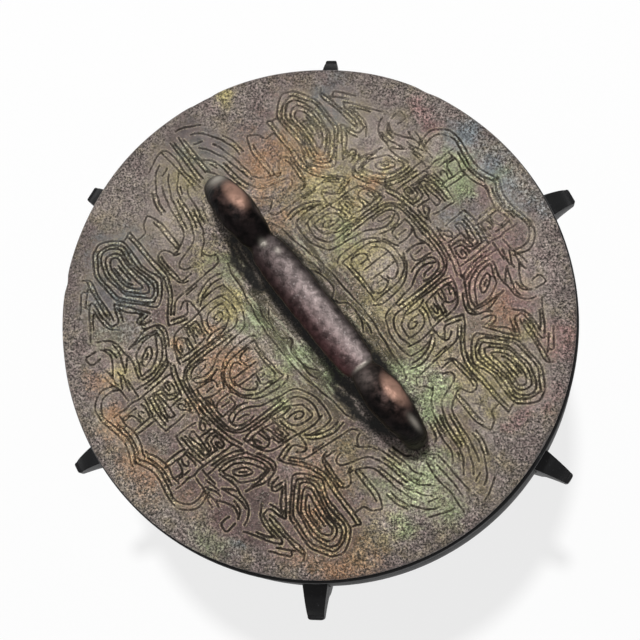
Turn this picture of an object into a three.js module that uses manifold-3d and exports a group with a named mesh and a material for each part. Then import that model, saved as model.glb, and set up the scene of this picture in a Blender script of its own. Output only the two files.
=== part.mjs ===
// Covered tripod incense burner in cast bronze: a round bowl on three column legs, six flanges
// round its belly, and a flat round lid with a bridge handle. Millimetres, +Z up, the floor at z = 0.
import * as THREE from "three";
import { mergeVertices } from "three/addons/utils/BufferGeometryUtils.js";
import Module from "manifold-3d";

// Lid
const LID_RADIUS = 60;
const LID_THICKNESS = 3.2;
const LID_EDGE_ROUND = 0.6;
const LID_SEAT_GAP = 0.3; // between the lid and the rim that it lies on
const SPIGOT_DEPTH = 5; // the ring under the lid that keeps it centred in the mouth
const SPIGOT_WALL = 2.5;
const SPIGOT_CLEARANCE = 1.2; // all round, so that the lid drops in freely
const SPIGOT_LEAD_IN = 0.7;

// Bowl
const RIM_HEIGHT = 105; // top of the rim above the floor
const RIM_OVERHANG = 0.7; // how far the rim shows past the lid
const RIM_THICKNESS = 3.5;
const RIM_ROUND = 0.8;
const NECK_INSET = 2.3; // how far the neck draws in under the rim
const NECK_BELOW_RIM = 7;
const BELLY_SWELL = 0.5; // how far the belly stands out past the rim
const BELLY_BELOW_RIM = 20;
const BELLY_DEPTH = 41; // from the belly's widest line down to the underside
const BOWL_WALL = 3.4;
const BOWL_FLOOR_WALL = 6; // at the middle of the bottom, which is flat inside
const ROUND_SEGMENTS = 72;

// Flanges, each a fin on the belly with a hook that juts out from its top
const FLANGE_PAIRS = 3;
const FLANGE_REACH = 8; // past the belly
const FLANGE_TIP_RISE = 2.5; // top of the tip above the belly's widest line
const FLANGE_TIP_HEIGHT = 4;
const FLANGE_TOP_BELOW_RIM = 13;
const FLANGE_FIN_DEPTH = 2.2; // how far the fin under the hook stands out from the belly
const FLANGE_FIN_START = 3; // below the hook
const FLANGE_FIN_BELOW_BELLY = 15; // where the fin dies away into the belly
const FLANGE_EMBED = 12; // how far the blank reaches into the bowl before it is cut to fit
const FLANGE_CORNER = 0.9;
const LEG_FLANGE_ROOT_WIDTH = 5.2; // the flanges over the legs taper to a narrow tip
const LEG_FLANGE_TIP_WIDTH = 2.8;
const SIDE_FLANGE_ROOT_WIDTH = 5.9; // the flanges between them stay blunt
const SIDE_FLANGE_TIP_WIDTH = 4;

// Legs
const LEG_INSET = 20.7; // from the belly's widest line in to the middle of a leg
const LEG_FOOT_RADIUS = 7.4;
const LEG_FOOT_HEIGHT = 5;
const LEG_ANKLE_HEIGHT = 7; // where the curve from the foot turns up into the waist
const LEG_WAIST_RADIUS = 6.1;
const LEG_WAIST_HEIGHT = 22;
const LEG_SHOULDER_RADIUS = 8.6;
const LEG_FLARE_START = 0.6; // share of the way from waist to shoulder
const LEG_SHOULDER_BELOW_BOWL = 4; // the straight top of the shoulder, on its inner side
const LEG_EMBED = 2; // how far the blank reaches up into the bowl before it is cut to fit
const LEG_FOOT_ROUND = 0.8;
const LEG_SEGMENTS = 28;
const FIRST_LEG_ANGLE = 88.4; // where the vessel happens to be turned

// Bridge handle
const HANDLE_ANGLE = -52; // where the lid happens to be turned
const HANDLE_OFFSET = 0.8; // of its line from the middle of the lid
const HANDLE_FOOT_SPAN = 70.4; // between the middles of its two feet
const HANDLE_BAR_HEIGHT = 13.9; // middle of the bar above the lid
const HANDLE_SQUARENESS = 2.6; // of its section: 2 is an oval and more is squarer
const HANDLE_SIDES = 20;
const HANDLE_HALF_STEPS = 20;

// The handle's sections from the middle of the bar to a foot: where each lies along the half span
// and how high against the bar, both as shares, then its width and its thickness.
const HANDLE_SECTIONS = [
  { at: "middle", along: 0, level: 1, width: 8.8, thickness: 6.4 },
  { at: "bar", along: 0.24, level: 1, width: 8.9, thickness: 6.4 },
  { at: "bar end", along: 0.44, level: 1, width: 8.2, thickness: 6.2 },
  { at: "neck", along: 0.525, level: 1, width: 6.2, thickness: 5.6 },
  { at: "brow", along: 0.615, level: 1.11, width: 7.6, thickness: 7 },
  { at: "head", along: 0.755, level: 1.22, width: 8.8, thickness: 8.4 },
  { at: "cheek", along: 0.89, level: 1.11, width: 7.9, thickness: 8.4 },
  { at: "knee", along: 0.98, level: 0.78, width: 6.4, thickness: 8.2 },
  { at: "shin", along: 1, level: 0.4, width: 5.8, thickness: 7.4 },
  { at: "foot", along: 1, level: 0, width: 5.8, thickness: 7.2 },
];

// Tenons that hold the handle: each goes down through the lid and is hammered over underneath
const TENON_RADIUS = 2.2;
const TENON_CLEARANCE = 0.3;
const TENON_HEAD_RADIUS = 3.6;
const TENON_HEAD_THICKNESS = 1.1;
const TENON_ROOT = 2.6; // how far it starts up inside the foot
const TENON_SIDES = 20;

const BRAZED_GAP = 0.3; // between a piece and the surface that it is brazed to

const UNDERSIDE_Z = RIM_HEIGHT + LID_SEAT_GAP;
const LID_TOP_Z = UNDERSIDE_Z + LID_THICKNESS;
const BELLY_Z = RIM_HEIGHT - BELLY_BELOW_RIM;
const NECK_Z = RIM_HEIGHT - NECK_BELOW_RIM;
const BOTTOM_Z = BELLY_Z - BELLY_DEPTH;
const RIM_RADIUS = LID_RADIUS + RIM_OVERHANG;
const NECK_RADIUS = RIM_RADIUS - NECK_INSET;
const BELLY_RADIUS = RIM_RADIUS + BELLY_SWELL;
const MOUTH_RADIUS = NECK_RADIUS - BOWL_WALL;
const LEG_CIRCLE_RADIUS = BELLY_RADIUS - LEG_INSET;
const SHOULDER_TOP_Z = undersideAt(LEG_CIRCLE_RADIUS + LEG_SHOULDER_RADIUS);
const SHOULDER_Z = undersideAt(LEG_CIRCLE_RADIUS - LEG_SHOULDER_RADIUS) - LEG_SHOULDER_BELOW_BOWL;

const { degToRad, lerp } = THREE.MathUtils;
const blackBronze = new THREE.MeshStandardMaterial({ color: 0x1b1b1d, roughness: 0.42, metalness: 0.9 });
const patinaBronze = new THREE.MeshStandardMaterial({ color: 0x6d665a, roughness: 0.65, metalness: 0.5 });
const brownBronze = new THREE.MeshStandardMaterial({ color: 0x47332f, roughness: 0.4, metalness: 0.85 });

const wasm = await Module();
wasm.setup();

// A closed geometry as a solid that can be cut and joined.
function solid(geometry) {
  const bare = geometry.clone();
  bare.deleteAttribute("normal");
  bare.deleteAttribute("uv");
  const merged = mergeVertices(bare, 1e-4);
  return new wasm.Manifold(
    new wasm.Mesh({
      numProp: 3,
      vertProperties: merged.attributes.position.array,
      triVerts: new Uint32Array(merged.index.array),
    }),
  );
}

// A solid back as a geometry with flat-shaded faces.
function geometryOf(made) {
  const mesh = made.getMesh();
  const indexed = new THREE.BufferGeometry();
  indexed.setAttribute("position", new THREE.BufferAttribute(mesh.vertProperties, 3));
  indexed.setIndex(new THREE.BufferAttribute(mesh.triVerts, 1));
  const flat = indexed.toNonIndexed();
  flat.computeVertexNormals();
  return flat;
}

// A profile of [radius, height] points turned round the Z axis.
function lathe(points, segments) {
  const profile = points.map(([radius, height]) => new THREE.Vector2(radius, height));
  return new THREE.LatheGeometry(profile, segments).rotateX(Math.PI / 2);
}

function node(name, geometry, material) {
  const mesh = new THREE.Mesh(geometry, material);
  mesh.name = name;
  return mesh;
}

// The height of the bowl's round underside at a radius.
function undersideAt(radius) {
  return BELLY_Z - BELLY_DEPTH * Math.sqrt(1 - (radius / BELLY_RADIUS) ** 2);
}

// The bowl's outer profile from the middle of its underside up to the neck, grown by an offset.
function bowlOutside(grow = 0) {
  const points = [];
  const belowSteps = 13;
  for (let i = 0; i <= belowSteps; i += 1) {
    const turn = (i / belowSteps) * (Math.PI / 2);
    const radius = (BELLY_RADIUS + grow) * Math.sin(turn);
    points.push([radius, BELLY_Z - (BELLY_DEPTH + grow) * Math.cos(turn)]);
  }
  const aboveSteps = 5;
  for (let i = 1; i <= aboveSteps; i += 1) {
    const share = i / aboveSteps;
    const ease = (1 - Math.cos(Math.PI * share)) / 2;
    points.push([lerp(BELLY_RADIUS, NECK_RADIUS, ease) + grow, lerp(BELLY_Z, NECK_Z, share)]);
  }
  return points;
}

// The bowl's inner profile from the mouth down to its flat floor.
function bowlInside() {
  const radius = BELLY_RADIUS - BOWL_WALL;
  const depth = BELLY_DEPTH - BOWL_WALL;
  const floor = BOTTOM_Z + BOWL_FLOOR_WALL;
  const floorTurn = Math.acos((BELLY_Z - floor) / depth);
  const steps = 10;
  const points = [
    [MOUTH_RADIUS, RIM_HEIGHT],
    [MOUTH_RADIUS, NECK_Z],
  ];
  for (let i = 0; i <= steps; i += 1) {
    const turn = lerp(Math.PI / 2, floorTurn, i / steps);
    points.push([radius * Math.sin(turn), BELLY_Z - depth * Math.cos(turn)]);
  }
  points.push([0, floor]);
  return points;
}

// The rim's lip, from its underside round to its top.
function rimLip() {
  const underside = RIM_HEIGHT - RIM_THICKNESS;
  return [
    [RIM_RADIUS - RIM_ROUND, underside],
    [RIM_RADIUS, underside + RIM_ROUND],
    [RIM_RADIUS, RIM_HEIGHT - RIM_ROUND],
    [RIM_RADIUS - RIM_ROUND, RIM_HEIGHT],
  ];
}

function bowl() {
  return lathe([...bowlOutside(), ...rimLip(), ...bowlInside()], ROUND_SEGMENTS);
}

// The room that the bowl takes up with a brazed joint round it, for cutting what stands against it.
function bowlEnvelope() {
  const outer = RIM_RADIUS + BRAZED_GAP;
  const profile = [
    ...bowlOutside(BRAZED_GAP),
    [outer, RIM_HEIGHT - RIM_THICKNESS - BRAZED_GAP],
    [outer, RIM_HEIGHT],
    [0, RIM_HEIGHT],
  ];
  return solid(lathe(profile, ROUND_SEGMENTS));
}

// The flange seen from the side: a hook with its tip at the belly's widest line, and a low fin
// below it that dies away into the belly.
function flangeSide() {
  const inside = NECK_RADIUS - FLANGE_EMBED;
  const tip = BELLY_RADIUS + FLANGE_REACH;
  const top = RIM_HEIGHT - FLANGE_TOP_BELOW_RIM;
  const tipTop = BELLY_Z + FLANGE_TIP_RISE;
  const tipBottom = tipTop - FLANGE_TIP_HEIGHT;
  const fin = BELLY_RADIUS + FLANGE_FIN_DEPTH;
  const finTop = tipBottom - FLANGE_FIN_START;
  const tail = BELLY_Z - FLANGE_FIN_BELOW_BELLY;
  const shape = new THREE.Shape();
  shape.moveTo(inside, top);
  shape.lineTo(NECK_RADIUS + FLANGE_CORNER, top);
  shape.quadraticCurveTo((fin + tip) / 2, top - FLANGE_CORNER, tip - FLANGE_CORNER, tipTop);
  shape.quadraticCurveTo(tip, tipTop, tip, tipTop - FLANGE_CORNER);
  shape.lineTo(tip, tipBottom + FLANGE_CORNER);
  shape.quadraticCurveTo(tip, tipBottom, tip - FLANGE_CORNER, tipBottom);
  shape.quadraticCurveTo(fin, tipBottom, fin, finTop);
  shape.quadraticCurveTo(fin, (finTop + tail) / 2, BELLY_RADIUS - FLANGE_EMBED, tail);
  shape.lineTo(inside, tail);
  return shape;
}

// The flange seen from above: wide where it meets the belly and narrow at its tip.
function flangePlan(rootWidth, tipWidth) {
  const inside = NECK_RADIUS - 2 * FLANGE_EMBED;
  const tip = BELLY_RADIUS + FLANGE_REACH;
  const root = rootWidth / 2;
  const edge = tipWidth / 2;
  const shape = new THREE.Shape();
  shape.moveTo(inside, -root);
  shape.lineTo(BELLY_RADIUS, -root);
  shape.lineTo(tip - FLANGE_CORNER, -edge);
  shape.quadraticCurveTo(tip, -edge, tip, -edge + FLANGE_CORNER);
  shape.lineTo(tip, edge - FLANGE_CORNER);
  shape.quadraticCurveTo(tip, edge, tip - FLANGE_CORNER, edge);
  shape.lineTo(BELLY_RADIUS, root);
  shape.lineTo(inside, root);
  return shape;
}

function flange(rootWidth, tipWidth, envelope) {
  const depth = 2 * rootWidth;
  const side = new THREE.ExtrudeGeometry(flangeSide(), { depth, bevelEnabled: false, curveSegments: 6 });
  side.rotateX(Math.PI / 2).translate(0, depth / 2, 0);
  const plan = new THREE.ExtrudeGeometry(flangePlan(rootWidth, tipWidth), {
    depth: RIM_HEIGHT,
    bevelEnabled: false,
    curveSegments: 4,
  });
  return geometryOf(solid(side).intersect(solid(plan)).subtract(envelope));
}

// A column leg: a spread foot, a slim waist and a shoulder that takes the bowl's round underside.
function leg(envelope) {
  const top = SHOULDER_TOP_Z + LEG_EMBED;
  const profile = new THREE.Path();
  profile.moveTo(0, 0);
  profile.lineTo(LEG_FOOT_RADIUS - LEG_FOOT_ROUND, 0);
  profile.lineTo(LEG_FOOT_RADIUS, LEG_FOOT_ROUND);
  profile.lineTo(LEG_FOOT_RADIUS, LEG_FOOT_HEIGHT);
  profile.quadraticCurveTo(LEG_WAIST_RADIUS, LEG_ANKLE_HEIGHT, LEG_WAIST_RADIUS, LEG_WAIST_HEIGHT);
  profile.quadraticCurveTo(
    LEG_WAIST_RADIUS,
    lerp(LEG_WAIST_HEIGHT, SHOULDER_Z, LEG_FLARE_START),
    LEG_SHOULDER_RADIUS,
    SHOULDER_Z,
  );
  profile.lineTo(LEG_SHOULDER_RADIUS, top);
  profile.lineTo(0, top);
  const points = profile.getPoints(5).map((point) => [point.x, point.y]);
  const column = lathe(points, LEG_SEGMENTS).translate(LEG_CIRCLE_RADIUS, 0, 0);
  const pieces = solid(column).subtract(envelope).decompose();
  pieces.sort((a, b) => b.volume() - a.volume());
  return geometryOf(pieces[0]);
}

// The lid's flat plate with the spigot ring under it and a hole for each tenon.
function lidPlate() {
  const outer = MOUTH_RADIUS - SPIGOT_CLEARANCE;
  const inner = outer - SPIGOT_WALL;
  const bottom = UNDERSIDE_Z - SPIGOT_DEPTH;
  const plate = lathe(
    [
      [0, UNDERSIDE_Z],
      [inner, UNDERSIDE_Z],
      [inner, bottom],
      [outer - SPIGOT_LEAD_IN, bottom],
      [outer, bottom + SPIGOT_LEAD_IN],
      [outer, UNDERSIDE_Z],
      [LID_RADIUS - LID_EDGE_ROUND, UNDERSIDE_Z],
      [LID_RADIUS, UNDERSIDE_Z + LID_EDGE_ROUND],
      [LID_RADIUS, LID_TOP_Z - LID_EDGE_ROUND],
      [LID_RADIUS - LID_EDGE_ROUND, LID_TOP_Z],
      [0, LID_TOP_Z],
    ],
    ROUND_SEGMENTS,
  );
  const radius = TENON_RADIUS + TENON_CLEARANCE;
  const hole = new THREE.CylinderGeometry(radius, radius, 3 * LID_THICKNESS, TENON_SIDES);
  hole.rotateX(Math.PI / 2);
  let made = solid(plate);
  for (const side of [-1, 1]) {
    const place = hole.clone().translate((side * HANDLE_FOOT_SPAN) / 2, HANDLE_OFFSET, LID_TOP_Z);
    made = made.subtract(solid(place.rotateZ(degToRad(HANDLE_ANGLE))));
  }
  return geometryOf(made);
}

// The handle's centre line and its section, both as curves from the middle of the bar to a foot.
function handleCurves() {
  const path = [];
  const section = [];
  for (const { along, level, width, thickness } of HANDLE_SECTIONS) {
    path.push(new THREE.Vector3((along * HANDLE_FOOT_SPAN) / 2, 0, level * HANDLE_BAR_HEIGHT));
    section.push(new THREE.Vector3(width, 0, thickness));
  }
  return { path: new THREE.CatmullRomCurve3(path), section: new THREE.CatmullRomCurve3(section) };
}

// A point's share of the half width or half thickness on a rounded square section.
function rounded(part) {
  return Math.sign(part) * Math.abs(part) ** (2 / HANDLE_SQUARENESS);
}

// One ring of the handle, at a share from -1 at one foot to 1 at the other.
function handleRing(curves, share) {
  const side = Math.sign(share) || 1;
  const t = Math.abs(share);
  const middle = curves.path.getPoint(t);
  const size = curves.section.getPoint(t);
  const tangent = t === 0 ? new THREE.Vector3(1, 0, 0) : curves.path.getTangent(t);
  const ring = [];
  for (let k = 0; k < HANDLE_SIDES; k += 1) {
    const angle = (k / HANDLE_SIDES) * 2 * Math.PI;
    const across = (rounded(Math.cos(angle)) * size.x) / 2;
    const out = (rounded(Math.sin(angle)) * size.z) / 2;
    ring.push(side * (middle.x - out * tangent.z), across, middle.z + out * tangent.x);
  }
  return ring;
}

// Rings of equal count joined into a closed skin, with a fan over each end.
function skin(rings, sides) {
  const faces = [];
  for (let i = 0; i + 1 < rings.length; i += 1) {
    for (let k = 0; k < sides; k += 1) {
      const a = i * sides + k;
      const b = i * sides + ((k + 1) % sides);
      faces.push(a, b, a + sides, b, b + sides, a + sides);
    }
  }
  const last = (rings.length - 1) * sides;
  for (let k = 1; k + 1 < sides; k += 1) {
    faces.push(0, k + 1, k);
    faces.push(last, last + k, last + k + 1);
  }
  const geometry = new THREE.BufferGeometry();
  geometry.setAttribute("position", new THREE.Float32BufferAttribute(rings.flat(), 3));
  geometry.setIndex(faces);
  return geometry;
}

// A tenon from inside the foot down through the lid to its hammered head.
function tenon() {
  const headTop = -LID_THICKNESS - BRAZED_GAP;
  return lathe(
    [
      [0, headTop - TENON_HEAD_THICKNESS],
      [TENON_HEAD_RADIUS - TENON_HEAD_THICKNESS / 2, headTop - TENON_HEAD_THICKNESS],
      [TENON_HEAD_RADIUS, headTop - TENON_HEAD_THICKNESS / 2],
      [TENON_HEAD_RADIUS, headTop],
      [TENON_RADIUS, headTop],
      [TENON_RADIUS, TENON_ROOT],
      [0, TENON_ROOT],
    ],
    TENON_SIDES,
  );
}

// The handle above the lid's top, with a tenon under each foot.
function handle() {
  const curves = handleCurves();
  const rings = [];
  for (let i = -HANDLE_HALF_STEPS; i <= HANDLE_HALF_STEPS; i += 1) {
    rings.push(handleRing(curves, i / HANDLE_HALF_STEPS));
  }
  const length = 2 * HANDLE_FOOT_SPAN;
  const above = new THREE.BoxGeometry(length, length, length).translate(0, 0, length / 2 + BRAZED_GAP);
  let made = solid(skin(rings, HANDLE_SIDES)).intersect(solid(above));
  for (const side of [-1, 1]) {
    made = made.add(solid(tenon().translate((side * HANDLE_FOOT_SPAN) / 2, 0, 0)));
  }
  return geometryOf(made.translate([0, HANDLE_OFFSET, 0]));
}

const burner = new THREE.Group();
burner.add(node("bowl", bowl(), blackBronze));

const envelope = bowlEnvelope();
const legGeometry = leg(envelope);
const legFlange = flange(LEG_FLANGE_ROOT_WIDTH, LEG_FLANGE_TIP_WIDTH, envelope);
const sideFlange = flange(SIDE_FLANGE_ROOT_WIDTH, SIDE_FLANGE_TIP_WIDTH, envelope);
for (let i = 0; i < FLANGE_PAIRS; i += 1) {
  const angle = degToRad(FIRST_LEG_ANGLE + (i * 360) / FLANGE_PAIRS);
  const overLeg = node("leg_flange_" + (i + 1), legFlange, blackBronze);
  overLeg.rotation.z = angle;
  const between = node("side_flange_" + (i + 1), sideFlange, blackBronze);
  between.rotation.z = angle + Math.PI / FLANGE_PAIRS;
  const column = node("leg_" + (i + 1), legGeometry, blackBronze);
  column.rotation.z = angle;
  burner.add(overLeg, between, column);
}

const lid = new THREE.Group();
lid.add(node("lid_plate", lidPlate(), patinaBronze));
const bridge = node("bridge_handle", handle(), brownBronze);
bridge.position.z = LID_TOP_Z;
bridge.rotation.z = degToRad(HANDLE_ANGLE);
lid.add(bridge);
burner.add(lid);

export default burner;
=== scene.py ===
# %% [markdown]
# # A covered tripod incense burner in patinated cast bronze
#
# The real object is a round bronze vessel on three column legs with six flanges round its belly. A
# flat round lid lies on its rim. Two animal masks are sunk into the lid, back to back, and a bridge
# handle stands across the middle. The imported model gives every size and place. This lesson dresses it.

import math

import bmesh
import bpy
import numpy as np
from mathutils import Matrix, Vector, noise
from mathutils.geometry import delaunay_2d_cdt


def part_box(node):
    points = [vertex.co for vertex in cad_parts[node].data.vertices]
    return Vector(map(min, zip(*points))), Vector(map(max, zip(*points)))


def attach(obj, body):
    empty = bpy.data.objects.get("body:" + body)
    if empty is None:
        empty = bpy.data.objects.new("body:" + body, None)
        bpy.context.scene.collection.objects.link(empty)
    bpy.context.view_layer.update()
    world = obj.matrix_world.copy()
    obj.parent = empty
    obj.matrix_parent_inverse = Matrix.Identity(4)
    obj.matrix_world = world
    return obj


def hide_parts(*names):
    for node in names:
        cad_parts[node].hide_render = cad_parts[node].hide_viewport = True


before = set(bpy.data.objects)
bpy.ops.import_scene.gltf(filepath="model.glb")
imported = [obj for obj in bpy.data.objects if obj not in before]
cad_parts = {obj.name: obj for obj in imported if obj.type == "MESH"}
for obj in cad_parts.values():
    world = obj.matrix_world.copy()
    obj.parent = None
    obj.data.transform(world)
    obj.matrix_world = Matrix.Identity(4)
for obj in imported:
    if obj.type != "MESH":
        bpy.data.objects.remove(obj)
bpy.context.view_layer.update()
MM = 0.001
print("nodes:", sorted(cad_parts))

# %% [markdown]
# ## Scene tools
#
# Everything in a scene is an object that holds some data: a mesh, a lamp or a camera. Making and linking
# it could be written out each time. Three helpers do it here, so that each step shows only its own part.

# %% Scene tools
def added(name, data):
    """A new object that holds this data, linked to the scene."""
    made = bpy.data.objects.new(name, data)
    bpy.context.scene.collection.objects.link(made)
    return made


def shaded_smooth(mesh):
    """The mesh, with all its faces shaded smoothly."""
    mesh.polygons.foreach_set("use_smooth", [True] * len(mesh.polygons))
    return mesh


def mesh_from(work, name):
    """A plain mesh from a bmesh, with its faces outwards."""
    bmesh.ops.recalc_face_normals(work, faces=work.faces)
    made = bpy.data.meshes.new(name)
    work.to_mesh(made)
    work.free()
    return shaded_smooth(made)


print("scene tools ready")

# %% [markdown]
# ## Camera
#
# The photograph looks down on the lid from almost straight above, a little from the right and from
# the front. A camera could be turned by three angles. A place and a target are easier to measure and to
# change, so its matrix is made from these two, with world +Y upwards in the picture.

# %% Camera
lid_low, lid_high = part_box("lid_plate")
LID_TOP = lid_high.z
LID_RADIUS = (lid_high.x - lid_low.x) / 2
LENS = 91.08
SENSOR_WIDTH = 36
CAMERA_PLACE = Vector((0.0366, -0.0609, LID_TOP + 0.368))
CAMERA_TARGET = Vector((0.0011, -0.0004, LID_TOP))


def look_from(place, target):
    """A camera matrix whose picture keeps world +Y upwards."""
    forward = (target - place).normalized()
    right = forward.cross(Vector((0, 1, 0))).normalized()
    up = right.cross(forward)
    turn = Matrix((right, up, -forward)).transposed().to_4x4()
    return Matrix.Translation(place) @ turn


camera_data = bpy.data.cameras.new("camera")
camera_data.lens = LENS
camera_data.sensor_width = SENSOR_WIDTH
camera_data.clip_start = 0.01
camera = added("camera", camera_data)
camera.matrix_world = look_from(CAMERA_PLACE, CAMERA_TARGET)
bpy.context.scene.camera = camera
bpy.context.scene.view_settings.view_transform = "Standard"
print("camera at", tuple(round(c, 3) for c in CAMERA_PLACE))

# %% [markdown]
# ## Lamps
#
# The light comes from high up behind the object, at the top of the picture, so the handle throws its
# shadow downwards. A small lamp makes this shadow. A weak wide one stands at the upper left, where the
# handle's ends catch some grey, and a pale world fills the rest. Area lamps are used because their
# size sets how soft a shadow's border is.

# %% Lamps
LAMP_TARGET = Vector((0, 0, 0.1))


def area_lamp(name, place, size, power):
    """A round lamp of this width in metres and power in watts, turned to the target."""
    data = bpy.data.lights.new(name, "AREA")
    data.shape = "DISK"
    data.size = size
    data.energy = power
    lamp = added(name, data)
    lamp.rotation_mode = "QUATERNION"
    lamp.rotation_quaternion = (LAMP_TARGET - Vector(place)).to_track_quat("-Z", "Y")
    lamp.location = place
    return lamp


key = area_lamp("key_lamp", (0.0, 0.24, 1.38), 0.08, 18.5)
side = area_lamp("side_lamp", (-0.7, 0.6, 0.5), 0.5, 0.8)
print("lamps:", key.name, side.name)

# %% [markdown]
# ## Shader sums
#
# Every finish here is worked out from noise and from values stored on the mesh. Each sum could be a Math
# node set up by hand. `Value` wraps a socket instead, so that shader maths reads like Python.

# %% Value
class Value:
    """A number socket that adds Math nodes when it is used in an expression."""

    def __init__(self, tree, socket):
        self.tree = tree
        self.socket = socket

    def math(self, operation, *others, clamp=False):
        node = self.tree.nodes.new("ShaderNodeMath")
        node.operation = operation
        node.use_clamp = clamp
        for slot, item in zip(node.inputs, (self, *others)):
            if isinstance(item, Value):
                self.tree.links.new(item.socket, slot)
            else:
                slot.default_value = item
        return Value(self.tree, node.outputs[0])

    def __add__(self, other):
        return self.math("ADD", other)

    def __mul__(self, other):
        return self.math("MULTIPLY", other)

    def __sub__(self, other):
        return self.math("SUBTRACT", other)

    def __rsub__(self, other):
        return (self * -1.0).math("ADD", other)

    def __truediv__(self, other):
        return self.math("DIVIDE", other)

    __radd__ = __add__
    __rmul__ = __mul__

    def clamp(self):
        """The value held between 0 and 1."""
        return self.math("ADD", 0.0, clamp=True)

    def step(self, low, high):
        """0 at low, 1 at high and a straight ramp between, also where high is the smaller one."""
        return ((self - low) / (high - low)).clamp()


print("shader sums ready")

# %% [markdown]
# ## Materials
#
# `Finish` holds a material with a Principled shader. One method makes any node: its settings are given
# first, because some of them change its sockets, and its sockets follow by name. Noise reads the Object
# coordinates, which are metres in the shared frame, so the grain keeps its real size on every piece.

# %% Finish
class Finish:
    """A material with a Principled shader, and one method that makes any node."""

    def __init__(self, name):
        self.material = bpy.data.materials.new(name)
        self.material.use_nodes = True
        self.tree = self.material.node_tree
        self.tree.nodes.clear()
        self.output = self.tree.nodes.new("ShaderNodeOutputMaterial")
        self.shader = self.tree.nodes.new("ShaderNodeBsdfPrincipled")
        self.tree.links.new(self.shader.outputs[0], self.output.inputs[0])

    def node(self, kind, settings=None, output=0, **inputs):
        """Adds a node: its settings first, then its sockets by name with _ for a space."""
        made = self.tree.nodes.new(kind)
        for name, value in (settings or {}).items():
            setattr(made, name, value)
        for name, value in inputs.items():
            self.feed(made.inputs[name.replace("_", " ")], value)
        return Value(self.tree, made.outputs[output])

    def feed(self, socket, value):
        """Links a value to a socket, or writes a plain number or colour into it."""
        if isinstance(value, Value):
            self.tree.links.new(value.socket, socket)
        else:
            socket.default_value = value

    def set(self, **inputs):
        """Feeds the Principled shader's sockets, by name with _ for a space."""
        for name, value in inputs.items():
            self.feed(self.shader.inputs[name.replace("_", " ")], value)

    def place(self):
        """The point on the piece, in metres in the shared frame."""
        return self.node("ShaderNodeTexCoord", output="Object")

    def noise(self, scale, detail=3.0, roughness=0.55, offset=0.0):
        """Noise from 0 to 1, with scale in cells per metre. Another offset gives another noise."""
        moved = self.node(
            "ShaderNodeMapping", Vector=self.place(), Location=(offset, offset * 0.7, offset * 1.3)
        )
        return self.node(
            "ShaderNodeTexNoise", Vector=moved, Scale=scale, Detail=detail, Roughness=roughness
        )

    def attribute(self, name):
        """A number stored on the mesh's points."""
        return self.node("ShaderNodeAttribute", {"attribute_name": name}, output="Fac")

    def mix(self, share, first, second, blend="MIX"):
        """Two colours mixed by a share."""
        made = self.tree.nodes.new("ShaderNodeMix")
        made.data_type = "RGBA"
        made.blend_type = blend
        sockets = [s for s in made.inputs if s.type == "RGBA"]
        self.feed(made.inputs[0], share)
        for socket, value in zip(sockets, (first, second)):
            self.feed(socket, value)
        return Value(self.tree, [s for s in made.outputs if s.type == "RGBA"][0])

    def bump(self, height, strength, distance):
        """Fine relief that only the light sees, with distance in metres."""
        normal = self.node("ShaderNodeBump", Height=height, Strength=strength, Distance=distance)
        self.set(Normal=normal)


def rgb(red, green, blue):
    return (red, green, blue, 1.0)


print("material tools ready")

# %% [markdown]
# ## Floor
#
# A plain white floor keeps a soft shadow under the vessel. More light would make it white, but the
# bronze would bleach too. So part of its colour is given out as light, only for the rays that come
# from the camera, from a mirror-like surface or through glass.

# %% Floor
FLOOR_GLOW = 0.8
FLOOR_HALF = 4.0
FLOOR_DROP = 0.0002


def seen_directly(tree):
    """1 for the rays that should meet the white background, and 0 for the light's own rays."""
    path = tree.nodes.new("ShaderNodeLightPath")
    total = Value(tree, path.outputs["Is Camera Ray"])
    for name in ("Is Glossy Ray", "Is Transmission Ray"):
        total = total + Value(tree, path.outputs[name])
    return total.clamp()


floor_finish = Finish("white_floor")
floor_finish.set(Base_Color=rgb(0.86, 0.86, 0.86), Roughness=0.9)
glow = floor_finish.node("ShaderNodeEmission", Strength=1.0)
blend = floor_finish.tree.nodes.new("ShaderNodeMixShader")
floor_finish.feed(blend.inputs[0], seen_directly(floor_finish.tree) * FLOOR_GLOW)
floor_finish.tree.links.new(floor_finish.shader.outputs[0], blend.inputs[1])
floor_finish.feed(blend.inputs[2], glow)
floor_finish.tree.links.new(blend.outputs[0], floor_finish.output.inputs[0])

floor_mesh = bpy.data.meshes.new("floor")
corners = [(x * FLOOR_HALF, y * FLOOR_HALF, -FLOOR_DROP) for x, y in ((-1, -1), (1, -1), (1, 1), (-1, 1))]
floor_mesh.from_pydata(corners, [], [(0, 1, 2, 3)])
floor = added("floor", floor_mesh)
floor.data.materials.append(floor_finish.material)
print("floor:", 2 * FLOOR_HALF, "m wide")

# %% [markdown]
# ## World
#
# The world could be a picture of a room. A plain white one is enough here: full white where it is seen,
# and a tenth of that as a fill for the shadows, so the colours render about as they are written.

# %% World
WORLD_LIGHT = 0.10
world = bpy.data.worlds.new("world")
bpy.context.scene.world = world
world.use_nodes = True
backdrop = world.node_tree.nodes["Background"]
backdrop.inputs["Color"].default_value = rgb(1, 1, 1)
backdrop_strength = seen_directly(world.node_tree) * (1 - WORLD_LIGHT) + WORLD_LIGHT
world.node_tree.links.new(backdrop_strength.socket, backdrop.inputs["Strength"])
print("world light:", WORLD_LIGHT)

# %% [markdown]
# ## The ornament's lines
#
# Each mask is alike on both sides of its nose, and the two masks are alike too, so one quarter of the
# lid is drawn and turned into four. A line is a few points in millimetres, with u along the handle and
# v away from it, and a smooth curve goes through them. Curve objects could hold the lines as well, but
# plain points are easier to bend, to turn over and to measure from.

# %% Drawing tools
CURVE_STEP = 0.4
PAST_MIDDLE = 0.7
QUARTER = []
SINGLES = []


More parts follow.
